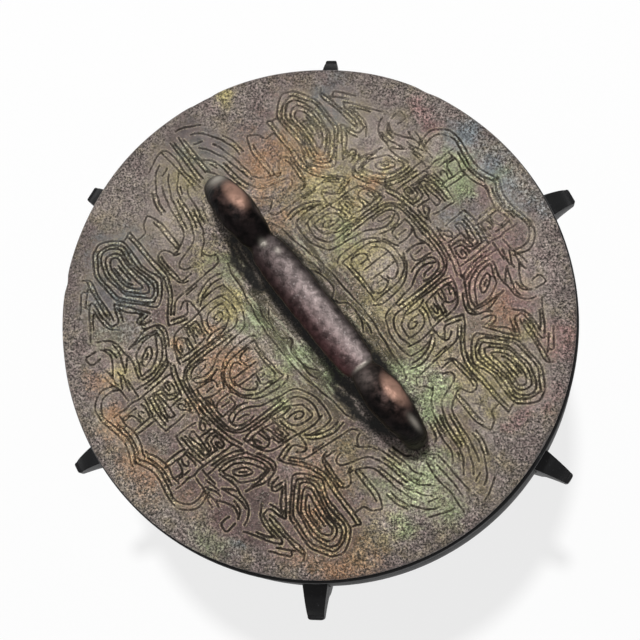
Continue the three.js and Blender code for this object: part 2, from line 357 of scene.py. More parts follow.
def curve(rows, steps_in):
    """A Catmull-Rom curve through rows of numbers. steps_in tells how many steps a span gets."""
    p = np.array(rows, float)
    ends = np.vstack([2 * p[0] - p[1], p, 2 * p[-1] - p[-2]])
    spans = []
    for a, b, c, d in zip(ends, ends[1:], ends[2:], ends[3:]):
        t = np.linspace(0, 1, steps_in(b, c), endpoint=False)[:, None]
        squared_part, cubed_part = 2 * a - 5 * b + 4 * c - d, 3 * b - a - 3 * c + d
        spans.append(0.5 * (2 * b + (c - a) * t + squared_part * t**2 + cubed_part * t**3))
    return np.vstack([*spans, p[-1:]])


def smooth(points):
    """A curve through the points, with a point about every CURVE_STEP."""
    return curve(points, lambda b, c: max(2, math.ceil(np.linalg.norm(c - b) / CURVE_STEP)))


def line(*points):
    """A line of the quarter. One that starts on the mask's middle runs a little past it."""
    u, v = points[0]
    start = [(-PAST_MIDDLE, v)] if u == 0 else []
    QUARTER.append(smooth([*start, *points]))


def single(sides, *points):
    """A line that only one quarter has. sides holds the signs of u and v there."""
    SINGLES.append(smooth(points) * sides)


print("drawing tools ready")

# %% [markdown]
# ### Jaw and cheek
#
# Long double lines run from the mask's middle round the jaw, and short bars fill the cheek beside them.
# All are cut with one tool, so each is drawn as a bare path, and its width and depth come later.

# %% Jaw and cheek
line((0, 34.8), (1.7, 34.6), (3.9, 34.4), (6.1, 34.1), (8, 33.7), (9.6, 33.3), (11.1, 32.7), (12.3, 32.3))
line((5.4, 35.3), (8, 34.8), (10.2, 34.3), (11.8, 33.6), (13, 32.9))
line((0, 33.7), (1.7, 33.6), (3.7, 33.6), (5.4, 33.3), (7, 33.1), (8, 32.7), (8.9, 32), (9.6, 31.1),
     (10, 30.3), (10.2, 29.2), (10.3, 27.9), (10.4, 24.8), (10.4, 21.3), (10.3, 17.9), (10.3, 16.1),
     (10.7, 15), (11.5, 14.2), (12.8, 13.5), (14.1, 13.2), (15.4, 13.2), (16.7, 13.5), (17.8, 13.9))
line((0, 32.7), (1.7, 32.8), (3.3, 32.8), (5, 32.6), (6.5, 32.4), (7.8, 31.9), (8.7, 31.3), (9.3, 29.8),
     (9.4, 26.1), (9.3, 21.8), (9.2, 17.6))
line((11.4, 31.2), (12.2, 31.1), (13.5, 30.7), (15, 30.1), (16.3, 29.3), (17.2, 28.6), (17.7, 27.7),
     (18, 26.1), (18, 22.9), (18.1, 21.2), (18.4, 19.3), (18.6, 17.4), (18.6, 15.9), (18.3, 14.6),
     (17.9, 13.2))
line((12.5, 30.5), (12.3, 29.2), (12.2, 27.7), (12.2, 26.1), (12.3, 24.8), (12.6, 23.1))
line((11.4, 30.5), (11.1, 29.2), (11.1, 27.7), (11.2, 25.7), (11.1, 24), (11, 22.7), (11.1, 20.9),
     (11.2, 19), (11.5, 17.7), (12.2, 16.6), (12.8, 15.5))
line((11.8, 22.9), (12.2, 21.8), (12.4, 20.5), (12.2, 19), (12, 17.7))
line((12.6, 27.5), (13.7, 27.3), (14.8, 27), (15.4, 26.6), (16.1, 27.2), (16.3, 28))
line((12.8, 29.6), (14.1, 29.7), (15.2, 29.4), (16.3, 28.6))
line((13.3, 29), (14, 28.7), (14.8, 28.5))
line((12.6, 26.5), (13.9, 26.3), (15.2, 26.2))
line((15.2, 25.6), (16.5, 25.4), (17.4, 25.1))
line((13, 25.3), (14.1, 24.9), (15.2, 24.7), (16.5, 24.5), (17.6, 24.2))
line((13.9, 24.1), (15, 24.2), (16.1, 23.8), (16.3, 23.5), (16.1, 23.2), (15.2, 23.2), (14.1, 23.3))
line((12.6, 22.9), (13.9, 22.6), (15.2, 22.3), (17.1, 22.1))
line((17.1, 25.3), (17.1, 24), (17, 22.3))
line((13, 21.7), (14.1, 21.7), (15.2, 21.5), (16.5, 20.9), (17.6, 20.4))
line((13, 20.6), (14.1, 20.6), (15.2, 20.3), (16.1, 19.6), (16.6, 18.7), (16.8, 17.4), (16.8, 16.1),
     (16.6, 15), (16.2, 14.7), (15, 14.8), (13.9, 15), (13, 15.2))
line((13.7, 19.8), (13.5, 18.7), (13.6, 17.5), (14.1, 16.4), (15, 16.2), (15.4, 17), (15.2, 18.1),
     (14.8, 18.7), (14.4, 18))
print("lines so far:", len(QUARTER))

# %% [markdown]
# ### Nose, teeth and strip
#
# Inside the jaw stand the nose and the scrolled teeth, and a plain strip between long lines parts them
# from the handle. The scrolls could be spirals by a rule, but the real ones are uneven, so they are drawn.

# %% Nose, teeth and strip
line((1.6, 31.5), (1, 30.7), (0.7, 29.6), (0.6, 28.3), (0.7, 27.2))
line((0, 31.2), (1.3, 31.7), (2.6, 31.9), (4.3, 31.7))
line((4.2, 31.1), (4, 30), (4, 29), (3.8, 27.9), (3.3, 27.3), (2.4, 27.3), (1.6, 27.5))
line((2.2, 30.3), (2.3, 29.4), (2.3, 28.3))
line((5, 25.1), (4.7, 25.8), (4.4, 27.2), (4.5, 28.3), (4.7, 29.6), (5.2, 30.7), (6.1, 31.1), (7.2, 31),
     (7.9, 30.5), (8.5, 29.4), (8.7, 28.1), (8.7, 27), (8.4, 25.7))
line((6.6, 30.5), (5.9, 29.4), (5.6, 28.3), (5.6, 27), (6, 25.7), (6.7, 24.4), (7.5, 23.1), (7.8, 21.8),
     (8, 20), (8.3, 18.3), (8.4, 16.8), (8.6, 15.3), (8.9, 14.2), (9.6, 13.4), (10.9, 12.7), (12.4, 12),
     (13.7, 11.6), (15.2, 11.5), (16.7, 11.5), (18.3, 11.7), (19.8, 12))
line((6.9, 29.4), (7, 28.3), (7.1, 27.1), (7.6, 26.6))
line((0, 25.6), (1.3, 25.4), (2.4, 25), (3.3, 24.4), (4, 23.3), (4.6, 22.2), (4.9, 20.9), (5, 18),
     (5, 15.6), (4.9, 14.3))
line((0.4, 26.6), (1.7, 25.9), (3, 25.4), (4.1, 24.4), (5, 23.5), (5.7, 22.4), (6.2, 20.9), (6.4, 19.6),
     (6.5, 18.1), (6.6, 16.6), (6.5, 15.3), (6.1, 14), (5.4, 13.3))
line((0, 24.2), (1.1, 24), (2.2, 23.5), (3, 22.7), (3.6, 21.6), (3.6, 20.9), (3.1, 20.4), (2.3, 20.2))
line((0.7, 23.5), (0.8, 22.2), (0.8, 20.5), (0.7, 18.7), (0.7, 17))
line((1.3, 19.2), (2.4, 19.4), (3.3, 19.6), (3.9, 19), (4.2, 17.9), (4.3, 16.4), (3.6, 15.9))
line((2.2, 18.6), (2.1, 17.2))
line((0, 15.6), (1.1, 15.5), (2.4, 15.4), (3.5, 15.4))
line((0, 14.6), (1.7, 14.5), (3.3, 14.5), (4.8, 14.2))
line((0, 10.9), (2.2, 10.9), (4.3, 11), (6.1, 10.8), (8.7, 10.6), (10, 10.3), (11.5, 9.9), (13, 9.8),
     (14.1, 9.6), (15.7, 9.2), (17.2, 9), (20.7, 8.8), (22.2, 8.3), (23.3, 7.9))
line((0, 7.2), (0.7, 8.3), (1.5, 9.1), (2.8, 9.2), (4.3, 9.1), (5.9, 8.8), (7.2, 8.2), (8.7, 7))
line((5.9, 9.3), (7.2, 9.3), (8.7, 9.1), (10, 8.5))
print("lines so far:", len(QUARTER))

# %% [markdown]
# ### Squared hooks above the jaw
#
# Squared hooks fill the ground beyond the jaw, as on many old bronzes. The curve through a few points
# rounds their corners by itself, which is how a corner cut in wax comes out of the casting.

# %% Squared hooks above the jaw
line((11.1, 50.9), (11.2, 49.6), (11, 48), (10.9, 47.2), (11.2, 46.1), (11.1, 45), (10.8, 43.9),
     (10.8, 42.8), (10.9, 41.5), (10.9, 38.7), (11, 37.4), (11, 35), (10.8, 34.1))
line((9.6, 49.6), (9.7, 47.6), (9.6, 45.6))
line((9.6, 42), (9.7, 40.4), (9.6, 38.7), (9.7, 37.9))
line((5.5, 49.8), (5.7, 48.5), (5.7, 47), (5.8, 45.7), (5.8, 44.3), (5.4, 43.1))
line((4.6, 49), (4.5, 47), (4.6, 43.9))
line((1, 43.2), (2.2, 43.4), (3.5, 43.6), (5, 43.6))
line((2.2, 42.4), (3.5, 42.4), (4.8, 42.4), (6.3, 42.3), (7.6, 42.1), (8.7, 42), (9.6, 41.6))
line((6.1, 43.3), (7.4, 43.2), (8.7, 42.9), (10.7, 42.6))
line((2.4, 41.5), (3.7, 41.5), (5, 41.5), (6.1, 41.3), (7.4, 41.1), (8.5, 41), (9.1, 40.7), (9.1, 40),
     (8.9, 39.1), (8.5, 38.7), (7.4, 38.5), (6.4, 38.4), (6, 37.8), (5.9, 37), (5.9, 36.1), (6, 35.5))
line((2.5, 39.6), (2.8, 40.5), (3.9, 40.7), (5, 40.5), (6.1, 40.2), (7.2, 40.2), (8, 40.3))
line((2.6, 39.3), (3.7, 39.3), (5, 39.3), (6.3, 39.3), (8.7, 39.6))
line((4.7, 39.2), (4.8, 38.3), (4.9, 37), (4.8, 35.7))
line((1, 42.8), (1.1, 41.5), (1.1, 40), (1.2, 38.7), (1.4, 37.6))
line((0.4, 35.9), (1.3, 36.1), (2, 36.5), (2.5, 37.3), (3, 37.6), (3.9, 37.6), (4.1, 37.1), (3.7, 36.5),
     (2.6, 36.2))
line((1.3, 35.7), (2.6, 35.4), (4.1, 35.4))
line((6.7, 35.9), (7.8, 35.6), (8.9, 35.5), (9.8, 35.7), (10, 36.5), (9.8, 37), (8.7, 37.1), (8, 37),
     (8.4, 36.4), (9.2, 36.3))
line((6.7, 35.9), (6.9, 36.9), (7.4, 37.7), (8.7, 37.9), (9.8, 37.8))
line((6.3, 46.7), (7.4, 46.8), (8.5, 47.1), (9.1, 47.6), (9.8, 48.2))
line((8.9, 49.3), (9, 48.3), (8.9, 47.5))
line((6.4, 45.6), (7.4, 46), (8.3, 45.8), (8.4, 45), (7.6, 44.8))
line((6.3, 44.1), (7.6, 43.9), (8.7, 43.8), (9.6, 44))
print("lines so far:", len(QUARTER))

# %% [markdown]
# ### Brow
#
# A double line swings over the hooks, and shorter ones run from the brow towards the horn. They are
# drawn from the middle outwards, so that the two sides of a mask meet without a kink.

# %% Brow
line((0, 54.2), (1.1, 53.7), (2.4, 53.1), (3.7, 52.7), (5, 52.5), (6.5, 52.6), (7.8, 52.8), (9.1, 53.1),
     (10.4, 53.4), (11.5, 53.6), (12.6, 53.7), (13.9, 53.6), (15.2, 53.3), (16.3, 52.5), (17.1, 51.5),
     (17.6, 50.7), (17.9, 49.6), (17.8, 48.5), (17.4, 47.4), (17, 46.3), (16.7, 45.5))
line((0, 53), (0.9, 52.5), (2, 51.9), (3.3, 51.5), (4.6, 51.3), (5.9, 51.3), (7.2, 51.6), (8.5, 51.8),
     (9.8, 52.1), (11.1, 52.4), (12.4, 52.7), (13.4, 52.6), (14.5, 52.1), (15.4, 51.4), (16.2, 50.4),
     (16.4, 49.3), (16.3, 48), (16, 47), (15.6, 46.3))
line((0.9, 51.4), (2, 51), (3.3, 50.7), (4.8, 50.5), (6.1, 50.5), (7.4, 50.7), (8.7, 51), (9.8, 51.2))
line((0, 50.7), (1.1, 50.1), (2.4, 49.6), (3.9, 49.3), (5, 49.2), (6.3, 49.2), (7.4, 49.6), (8.5, 49.8),
     (10.7, 49.6))
line((11.5, 43.4), (12.6, 43.4), (13.9, 43.3), (15.2, 43.2), (16, 43.1))
line((12.2, 45.8), (13.5, 45.9), (15, 45.9), (16.1, 46.2), (17.2, 46.6), (18.5, 46.9), (20, 47))
line((17.2, 45.8), (18.5, 45.6), (19.8, 45.6), (21, 45.8))
line((15.2, 45.3), (16.3, 44.8), (17.4, 44.2), (18.3, 43.9), (19.1, 43.9))
line((13.9, 44.3), (15.2, 44), (16.5, 43.6), (17.8, 43.4))
line((18.9, 45.4), (20, 44.6), (21.1, 43.8), (22.2, 43.2), (23, 42.9), (24.1, 43), (25.2, 43.4),
     (25.7, 43.9))
line((22, 42), (23, 42), (24.1, 42.1), (24.8, 42.5), (25.2, 43), (25.8, 43.8))
line((17.8, 42.6), (18.9, 42.1), (20.2, 41.7), (21.3, 41.2), (22.6, 40.9), (23.9, 40.8), (25, 40.9))
line((14.8, 40.8), (16.1, 40.5), (17.4, 40), (18.7, 39.7), (20.2, 39.6), (21.5, 39.9), (22.8, 39.9),
     (23.9, 39.9), (25, 40.2), (26.1, 40.9), (26.8, 41.7), (27.4, 42.6), (27.7, 43.6))
line((17.8, 42.6), (18.7, 41.5), (19.6, 40.7), (20.4, 40.2))
line((24.1, 45.2), (24, 46.3), (24.1, 47.4), (24.6, 47.9), (25.7, 48), (26.4, 47.8), (26.3, 46.1),
     (26.1, 45))
print("lines so far:", len(QUARTER))

# %% [markdown]
# ### Eye
#
# The eye is an almond of lines, one inside the other, with short strokes at its outer corner. Offsets of
# one outline would be too regular, so each ring is drawn by itself.

# %% Eye
line((13, 42.8), (13, 41.5), (12.8, 40.4), (12.7, 39.1), (12.8, 37.6), (13.2, 36.3), (13.6, 35),
     (14.2, 33.5), (14.5, 32.4))
line((11.9, 41.1), (12, 39.3), (12, 37.8), (12.2, 36.3), (12.5, 35), (13, 33.8), (13.5, 32.9))
line((13.9, 40.4), (13.7, 39.1), (13.7, 37.6), (14, 36.3), (14.6, 34.8), (15.2, 33.7), (16.3, 32.7),
     (17.6, 31.8), (18.9, 31.2), (20, 31.1), (21.1, 30.9), (21.4, 31.8), (21.7, 33.3), (21.8, 35),
     (21.7, 36.5), (21.9, 37.4), (21.7, 38.5))
line((20.4, 31.8), (19.6, 32.1), (18.3, 32.9), (17, 33.7), (15.9, 34.9), (15.2, 36.1), (14.8, 37.2),
     (14.8, 38.7), (14.8, 39.9), (16.1, 39.5), (17.2, 38.9), (18.5, 38.6), (19.3, 38.3), (20, 37.2),
     (20.5, 36.1), (21, 34.8), (21, 33.3), (20.9, 32), (20.7, 31.3))
line((16, 37.8), (16.3, 37), (16.7, 35.9), (17.4, 34.9), (18.4, 34.4), (19.1, 34.3), (19.3, 34.9),
     (18.9, 35.9), (18.3, 37), (17.5, 37.8), (16.6, 38.2), (16, 37.8))
line((17.3, 36.9), (17.7, 36.2), (18.2, 35.5))
line((21.9, 38.3), (22, 37), (22.4, 35.5), (22.8, 34.3), (22.9, 33), (22.7, 31.5), (22.3, 30.3),
     (21.5, 29.3), (20.4, 28.9), (18.9, 29.3), (17.4, 30), (16.2, 30.8))
line((21.7, 30.2), (20.9, 30), (19.6, 30), (18.5, 30.5), (17.2, 31.1), (16.1, 31.8), (15.2, 32.3),
     (14.1, 33), (13, 33.5))
line((23.8, 30.3), (24, 31.5), (24.3, 32.4), (24.8, 33), (25.4, 33.4), (26, 32.9), (26.2, 32.1),
     (26.1, 30.8))
line((22.9, 32.1), (23.4, 32.9), (24, 33.4))
line((25.1, 32.4), (25.2, 31.5), (25.3, 30.3))
print("lines so far:", len(QUARTER))

# %% [markdown]
# ### Ear
#
# Four closed loops, a nearly closed one and two short strokes make the ear. A closed loop ends on the
# point that it starts from. Like the eye's rings they drift apart and together, so each is drawn.

# %% Ear
line((25.6, 27.4), (26.1, 28), (27.5, 29.2), (28.8, 30.3), (30, 31.5), (31.1, 32.4), (32, 33.3), (33.1, 34),
     (34.7, 34.2), (36.5, 34.3), (38.4, 34.5), (40.2, 34.5), (41.3, 34.2), (42.5, 33.5), (43.6, 32.8),
     (44.7, 32.1), (45.3, 31.5), (45.7, 30.5), (46.1, 29.6), (46.2, 29.1), (45.9, 28), (45.5, 27.1),
     (45, 26.2), (44.3, 25.3), (43.6, 24.5), (42.5, 24.1), (40.2, 24), (38.6, 24.1), (37.5, 24.1),
     (36.1, 24.2), (34.7, 24), (33.4, 23.6), (32, 23), (30.9, 22.6), (30.2, 22.6), (29, 23.3), (27.7, 24.2),
     (26.3, 25.5), (25.6, 26.8), (25.6, 27.4))
line((26.9, 27.1), (27.7, 28.3), (28.8, 29.5), (30, 30.5), (31.1, 31.5), (32.2, 32.4), (33.4, 33.1),
     (34.7, 33.2), (36.5, 33.4), (37.9, 33.6), (39.7, 33.6), (40.9, 33.3), (42, 32.6), (43.1, 31.8),
     (44.5, 30.9), (44.8, 30.1), (44.8, 29.1), (44.6, 28), (44.2, 26.9), (43.4, 25.8), (42.6, 25.1),
     (41.5, 24.8), (40.4, 24.9), (39.3, 25.1), (37.9, 25.2), (36.1, 25.2), (34.7, 24.9), (33.4, 24.5),
     (31.8, 24.1), (30.6, 23.8), (29.8, 24), (29, 24.5), (28.1, 25.1), (27.5, 26), (26.9, 27.1))
line((28.1, 27.2), (28.8, 27.9), (30, 29), (31.1, 30.1), (32.2, 31.1), (33.1, 31.6), (34.7, 31.8),
     (36.1, 32.1), (37.9, 32.4), (39.3, 32.4), (40.6, 32), (41.8, 31.6), (42.9, 31), (43.6, 30.3),
     (43.9, 29.6), (44, 28.7), (43.7, 27.8), (43.1, 26.9), (42.5, 26.2), (41.5, 25.8), (40.4, 25.9),
     (39.3, 26.1), (37.9, 26.2), (36.5, 26), (34.7, 25.7), (33.4, 25.3), (32.2, 25.1), (31.1, 24.9),
     (30.4, 24.9), (29.5, 25.1), (28.8, 25.8), (28.3, 26.5), (28.1, 27.2))
line((29.5, 26.7), (29.9, 27.6), (31.1, 29), (31.8, 29.6), (32.5, 30.3), (33.6, 31.1), (35.6, 31.3),
     (37.5, 31.5), (39, 31.5), (40.2, 31.2), (41.3, 30.8), (42.2, 30.2), (42.6, 29.5), (42.5, 28.5),
     (42.2, 27.6), (41.5, 26.9), (40.6, 26.6), (39.3, 26.7), (37.7, 26.8), (36.1, 26.6), (34.7, 26.5),
     (33.4, 26.2), (32, 26), (31.1, 25.9), (30.3, 26.1), (29.5, 26.7))
line((31.3, 27.2), (32.2, 27.1), (33.4, 27.4), (34.7, 27.5), (36.5, 27.7), (37.9, 27.7), (39.3, 27.7),
     (40.6, 27.6), (41.2, 28), (41.5, 28.7), (41.3, 29.3), (40.6, 29.9), (39.7, 30.3), (38.4, 30.4),
     (36.5, 30.4), (35.2, 30.3), (34, 30), (32.9, 29.3), (32, 28.4), (31.3, 27.5))
line((33.4, 28.6), (34.3, 29.2), (35.4, 29.6), (36.8, 29.7), (38.4, 29.7), (39.3, 29.7))
line((34.7, 28.4), (36.1, 28.5), (37.9, 28.6), (39.3, 28.6))
print("lines so far:", len(QUARTER))

# %% [markdown]
# ### Horn beside the ear
#
# The horn is a bundle of strokes that turn back on themselves at sharp points. A curve through points
# that stand close together before and after such a turn keeps it crisp.

# %% Horn beside the ear
line((25.4, 29.5), (26.3, 30.1), (27.5, 31), (28.8, 31.9), (30, 32.8), (31.1, 33.7), (32, 34.4),
     (32.6, 34.9), (31.8, 35.3), (30.9, 35.7), (29.7, 36), (28.8, 36.3), (28.2, 36.9), (28.4, 37.6),
     (28.6, 38.5), (29.5, 38.7), (30.4, 38.8), (31.5, 39), (32.9, 38.9), (34.3, 38.7), (35.4, 38.6),
     (36.1, 38.9))
line((26.3, 31), (27.5, 32.1), (28.8, 33.5), (30, 34.2), (31.1, 34.6))
line((26.5, 37.4), (27.5, 38.3), (28.1, 39.1), (29, 39.5), (30.2, 39.8), (31.3, 39.8), (32.5, 39.8),
     (34.5, 39.5))
line((30.2, 37.9), (31.5, 38), (32.9, 37.9), (34.3, 37.8), (35.6, 37.6), (37, 37.4), (38.4, 37.3),
     (40.9, 36.8))
line((29.5, 37.3), (30.6, 37), (31.8, 36.9), (33.1, 36.8), (34.5, 36.8), (35.9, 36.7), (37.2, 36.5),
     (38.4, 36.2), (39.5, 36), (40.6, 36), (41.1, 36.5), (41.8, 37.5))
line((27.7, 35.7), (28.8, 35.2), (30, 34.9), (31.3, 34.9))
line((28.8, 44.6), (30, 43.7), (31.1, 43), (32.2, 42.3), (33.4, 41.6), (34.3, 41), (35, 40.4), (35.6, 39.8),
     (36.3, 39.1))
line((30.6, 42.3), (31.8, 41.6), (32.9, 40.8), (33.8, 40))
line((35.6, 42.6), (36.5, 41.8), (37.5, 41.1), (38.4, 40.3), (39.5, 39.2), (38.6, 38.1))
line((36.1, 40.7), (37.5, 39.4), (38.6, 38.3), (39.3, 37.6))
print("lines so far:", len(QUARTER))

# %% [markdown]
# ### Long bands under the ear
#
# Bands of two and three lines run from the cheek outwards under the ear. Their parallel lines stand
# about a millimetre apart, which later decides how fine the mesh has to be.

# %% Long bands under the ear
line((20.2, 27.8), (21.3, 27.3), (22.4, 26.6), (23.8, 25.4), (24.7, 24.6), (25.9, 23.7), (27, 23),
     (28.1, 22.6), (29.3, 22.1), (30.4, 21.9), (31.8, 22), (33.4, 22.2), (35.2, 22.3), (37, 22.3),
     (38.8, 22.4), (40.6, 22.4), (42, 22.5), (43.1, 22.6))
line((22, 25.9), (23.5, 24.6), (24.7, 23.4), (25.9, 22.6), (27, 21.9), (28.1, 21.5), (29.3, 21.1),
     (30.6, 20.9), (31.8, 20.9), (33.4, 21), (34.7, 21.2), (36.5, 21.3), (38.4, 21.3), (40.2, 21.3),
     (41.8, 21.5), (44, 21.7), (43.5, 22.8), (43.2, 23.7))
line((21.5, 25.3), (22.4, 24.4), (23.3, 23.6), (23.9, 22.8), (24.1, 21.8), (24.2, 20.5), (24.2, 19),
     (24.3, 17.4), (24.4, 15.7), (24.5, 14.2), (24.6, 12.4), (24.6, 10.9), (24.8, 9.8), (25.4, 9.2),
     (26.3, 8.8))
line((23.5, 20), (23.6, 16.9))
line((20.9, 26.6), (20.5, 25.5), (20.1, 24.4), (19.7, 23.1), (20, 22.4), (20.9, 21.8), (21.7, 21.2))
line((21.6, 23.3), (22.2, 22.4), (22.6, 21.5), (22.2, 20.8), (21.3, 20.4), (18.7, 20.3))
line((20.2, 27.6), (19.6, 26.3), (19.1, 24.8), (18.9, 23.4))
line((20.1, 17.9), (20.3, 16.3), (20.4, 15), (20.3, 13.5), (19.9, 12.2))
line((19.3, 19.2), (20.2, 18.1), (20.9, 17), (21.4, 15.7), (21.7, 14.2), (21.7, 12.9), (21.4, 11.3))
line((20.4, 19.3), (21.4, 18.3), (22.1, 17), (22.6, 15.7), (22.9, 14.4), (23, 12.9), (22.7, 11.6),
     (22.2, 10.3))
line((25.8, 17.8), (26, 18.7), (26.8, 19.6), (27.5, 19.9), (28.8, 20.1), (30, 20.2), (31.5, 20.2),
     (33.4, 20.3), (34.5, 20.2), (35.1, 19.8), (35.4, 19.2), (35.5, 18.7), (35.3, 17.9), (34.8, 17.4),
     (34, 16.9), (33.2, 16.6), (33.1, 15.5), (33.5, 14.7), (33.9, 13.7), (34.6, 12.7), (35.3, 11.9),
     (36.4, 11.4), (37.7, 11.2), (39, 11), (40.3, 10.8), (41.7, 10.7), (43, 10.5), (44.3, 10.1),
     (45.6, 9.8), (46.9, 9.4), (48, 8.8))
line((26.7, 16.2), (26.7, 17.6), (26.8, 19), (28.4, 19.1), (30, 19.2), (31.8, 19.4), (33.4, 19.4),
     (34.5, 19.2))
line((28, 15.5), (28.3, 16.5), (28.8, 17.1), (29.7, 17.4), (30.4, 17), (30.8, 16.3), (31.3, 14.7),
     (31.7, 13.4), (32, 12.2), (32.5, 11.2), (33.1, 10.5), (34.7, 9.7), (36, 9.2), (37.3, 8.8), (38.8, 8.6),
     (40.3, 8.4), (41.7, 8.3), (43.2, 8))
line((32.3, 15.3), (32.5, 16.2), (32.9, 16.9))
line((33.8, 15.3), (35.2, 15.4), (36.8, 15.5), (38.4, 15.5), (40.2, 15.5), (42.2, 15.8))
line((33.8, 14.4), (35.2, 14.3), (36.8, 14.3), (38.4, 14.3), (40.2, 14.3), (41.3, 14.5), (42.5, 14.9),
     (43.6, 15.4), (44.4, 15.9), (44.2, 16.5), (43.8, 17.1), (43.5, 17.7), (42.9, 18.2), (42, 18.5),
     (41.4, 18.8), (41.3, 19.4), (41.2, 20.3), (41.2, 21.2))
print("lines so far:", len(QUARTER))

# %% [markdown]
# ### Feathers beside the handle
#
# The last lines lie like feathers beside the handle's ends. Some of them show in one quarter only. They
# could be left out, but the lid would look stamped, so `single` draws them where they are.

# %% Feathers beside the handle
line((36, 10.5), (37.3, 10.2), (38.6, 10), (40.1, 9.7), (41.7, 9.4), (43.2, 9.1), (44.3, 8.9), (45.1, 8.4),
     (46.4, 7.8), (47.7, 7.2), (48.6, 6.5), (49.3, 5.8))
line((34.7, 8.6), (36, 8.1), (37.3, 7.8), (39, 7.6), (40.3, 7.3), (41.9, 7.3), (43.2, 7.1), (44.5, 6.8),
     (45.6, 6.2), (46.4, 5.3), (47.3, 4.5), (48, 3.8))
line((32.5, 8), (33.6, 7.6), (34.7, 7.4), (36, 7), (37.3, 6.8), (39, 6.5))
line((34.3, 6.4), (35.6, 6.2), (36.9, 5.9), (38.2, 5.6), (39.5, 5.4), (41, 5.4), (42.5, 5.2), (43.4, 4.6),
     (44.3, 4))
line((34.3, 5.3), (35.6, 5), (36.9, 4.7), (38, 4.3), (38.5, 3.5))
line((43.4, 6.2), (44.5, 5.8), (45.1, 5.5))
line((42.5, 12), (43.8, 12), (44.9, 11.9), (46, 11.4), (47.3, 11), (48.4, 10.3), (49.5, 9.6), (50.6, 8.8),
     (51.4, 8.1), (52.1, 7.1))
line((42.5, 13.1), (44.5, 13), (46, 12.7), (47.1, 12.2), (48.2, 11.7))
line((52.6, 9.3), (53.1, 8.4), (53.6, 7.3), (54.2, 6.2), (54.6, 5.1), (54.8, 4))
single((-1, -1), (54.8, 4), (54.7, 3.4), (54, 2.8), (53, 2.5), (51.4, 2.3), (49.9, 2.3), (48.6, 2.5),
       (47.1, 2.6), (45.6, 2.3), (44, 2.2), (42.7, 2.1), (41.5, 1.8))
single((-1, -1), (41.7, 3.3), (44.7, 3.2), (48.2, 3.5), (51.4, 3.7), (54.5, 4.1))
single((-1, -1), (43, 1.2), (46, 1.2), (49.5, 1.1), (55, 1))
single((-1, -1), (43.2, 0.1), (46, 0.2), (50, 0.1), (54.6, 0.2))
single((-1, 1), (43.5, 2.2), (47, 2.1), (50, 2.1), (53.5, 2))
single((-1, 1), (44, 1.2), (47, 1.1), (50, 1), (52.5, 1.1), (55, 1.4))
single((1, 1), (42.5, 2.5), (46, 2.7), (50, 2.8), (53, 3.1))
single((1, 1), (44, 0.9), (47, 1.1), (50, 1.2), (53, 1))
single((1, -1), (42, 0.6), (45, 1), (48, 0.9), (51, 0.5), (53, 0.8), (56, 0.9))
line((49.9, 7.3), (50.3, 6), (50.6, 5.3))
line((51, 8.6), (51.9, 7.3), (52.4, 6.2))
line((28.6, 11.7), (29.5, 11), (30.3, 9.9), (31.2, 8.9), (32.5, 8.4))
line((26.7, 9), (27.3, 10.1), (28.2, 10.8), (29.3, 11.1))
print("lines so far:", len(QUARTER), "and single ones:", len(SINGLES))

# %% [markdown]
# ## Four quarters from one
#
# The wax was cut by hand, so the four quarters aren't quite alike. A soft bend, a cubic in u and v that
# moves a line by up to 2 mm, sets three of them apart from the first. All four could be drawn, but the
# bends bring the main lines to their places with twenty numbers each.

# %% Four bent quarters
HANDLE_ANGLE = math.radians(-52)
HANDLE_C, HANDLE_S = math.cos(HANDLE_ANGLE), math.sin(HANDLE_ANGLE)
QUARTER_MIDDLE = 25
PLAIN_BORDER = 3
# For each quarter, the terms of the cubic in u and v that bends it, in millimetres.
BENDS = {
    (-1, -1): [(0, 0)] * 10,
    (1, -1): [(-0.05, -0.89), (-1.00, 0.02), (-0.83, -0.82), (0.39, 0.13), (1.09, 0.42),
              (0.61, -0.34), (0.84, -0.29), (1.55, 0.24), (0.30, -0.51), (-0.01, 0.30)],
    (-1, 1): [(0.35, -1.18), (-1.79, -0.48), (-0.13, 0.24), (1.07, -0.32), (1.40, -0.76),
              (0.01, -1.12), (2.32, 0.03), (0.86, -0.80), (0.36, -0.93), (-0.14, 0.16)],
    (1, 1): [(0.42, -0.66), (-0.25, -0.06), (-0.35, -0.03), (0.24, -0.28), (-0.27, -0.75),
             (0.38, 0.36), (0.65, 0.26), (0.33, 0.00), (-0.26, -0.57), (-0.29, -0.97)],
}


def bent(p, terms):
    """The line moved by a quarter's bend."""
    x, y = (p[:, 0] - QUARTER_MIDDLE) / QUARTER_MIDDLE, (p[:, 1] - QUARTER_MIDDLE) / QUARTER_MIDDLE
    powers = [x**0, x, y, x**2, x * y, y**2, x**3, x**2 * y, x * y**2, y**3]
    return p + np.stack(powers, 1) @ np.array(terms)


def to_lid(p):
    """From the handle's own directions to the lid's."""
    return np.stack([p[:, 0] * HANDLE_C - p[:, 1] * HANDLE_S, p[:, 0] * HANDLE_S + p[:, 1] * HANDLE_C], 1)


def from_lid(p):
    """From the lid's directions to a row along the handle and a row across it."""
    return np.array([[HANDLE_C, HANDLE_S], [-HANDLE_S, HANDLE_C]]) @ p.T


grooves = [to_lid(bent(stroke, terms) * sides) for sides, terms in BENDS.items() for stroke in QUARTER]
grooves += [to_lid(stroke) for stroke in SINGLES]
grooves = [g[np.hypot(g[:, 0], g[:, 1]) < LID_RADIUS / MM - PLAIN_BORDER] for g in grooves]
grooves = [g for g in grooves if len(g) > 2]
print("grooves on the lid:", len(grooves))

# %% [markdown]
# ## Distance to the nearest groove
#
# Both the mesh and the finish ask how far a point lies from a groove. Each point could be tested
# against every line, which is slow. A grid of small cells holds the least distance instead, and a point
# reads the four cells round it.

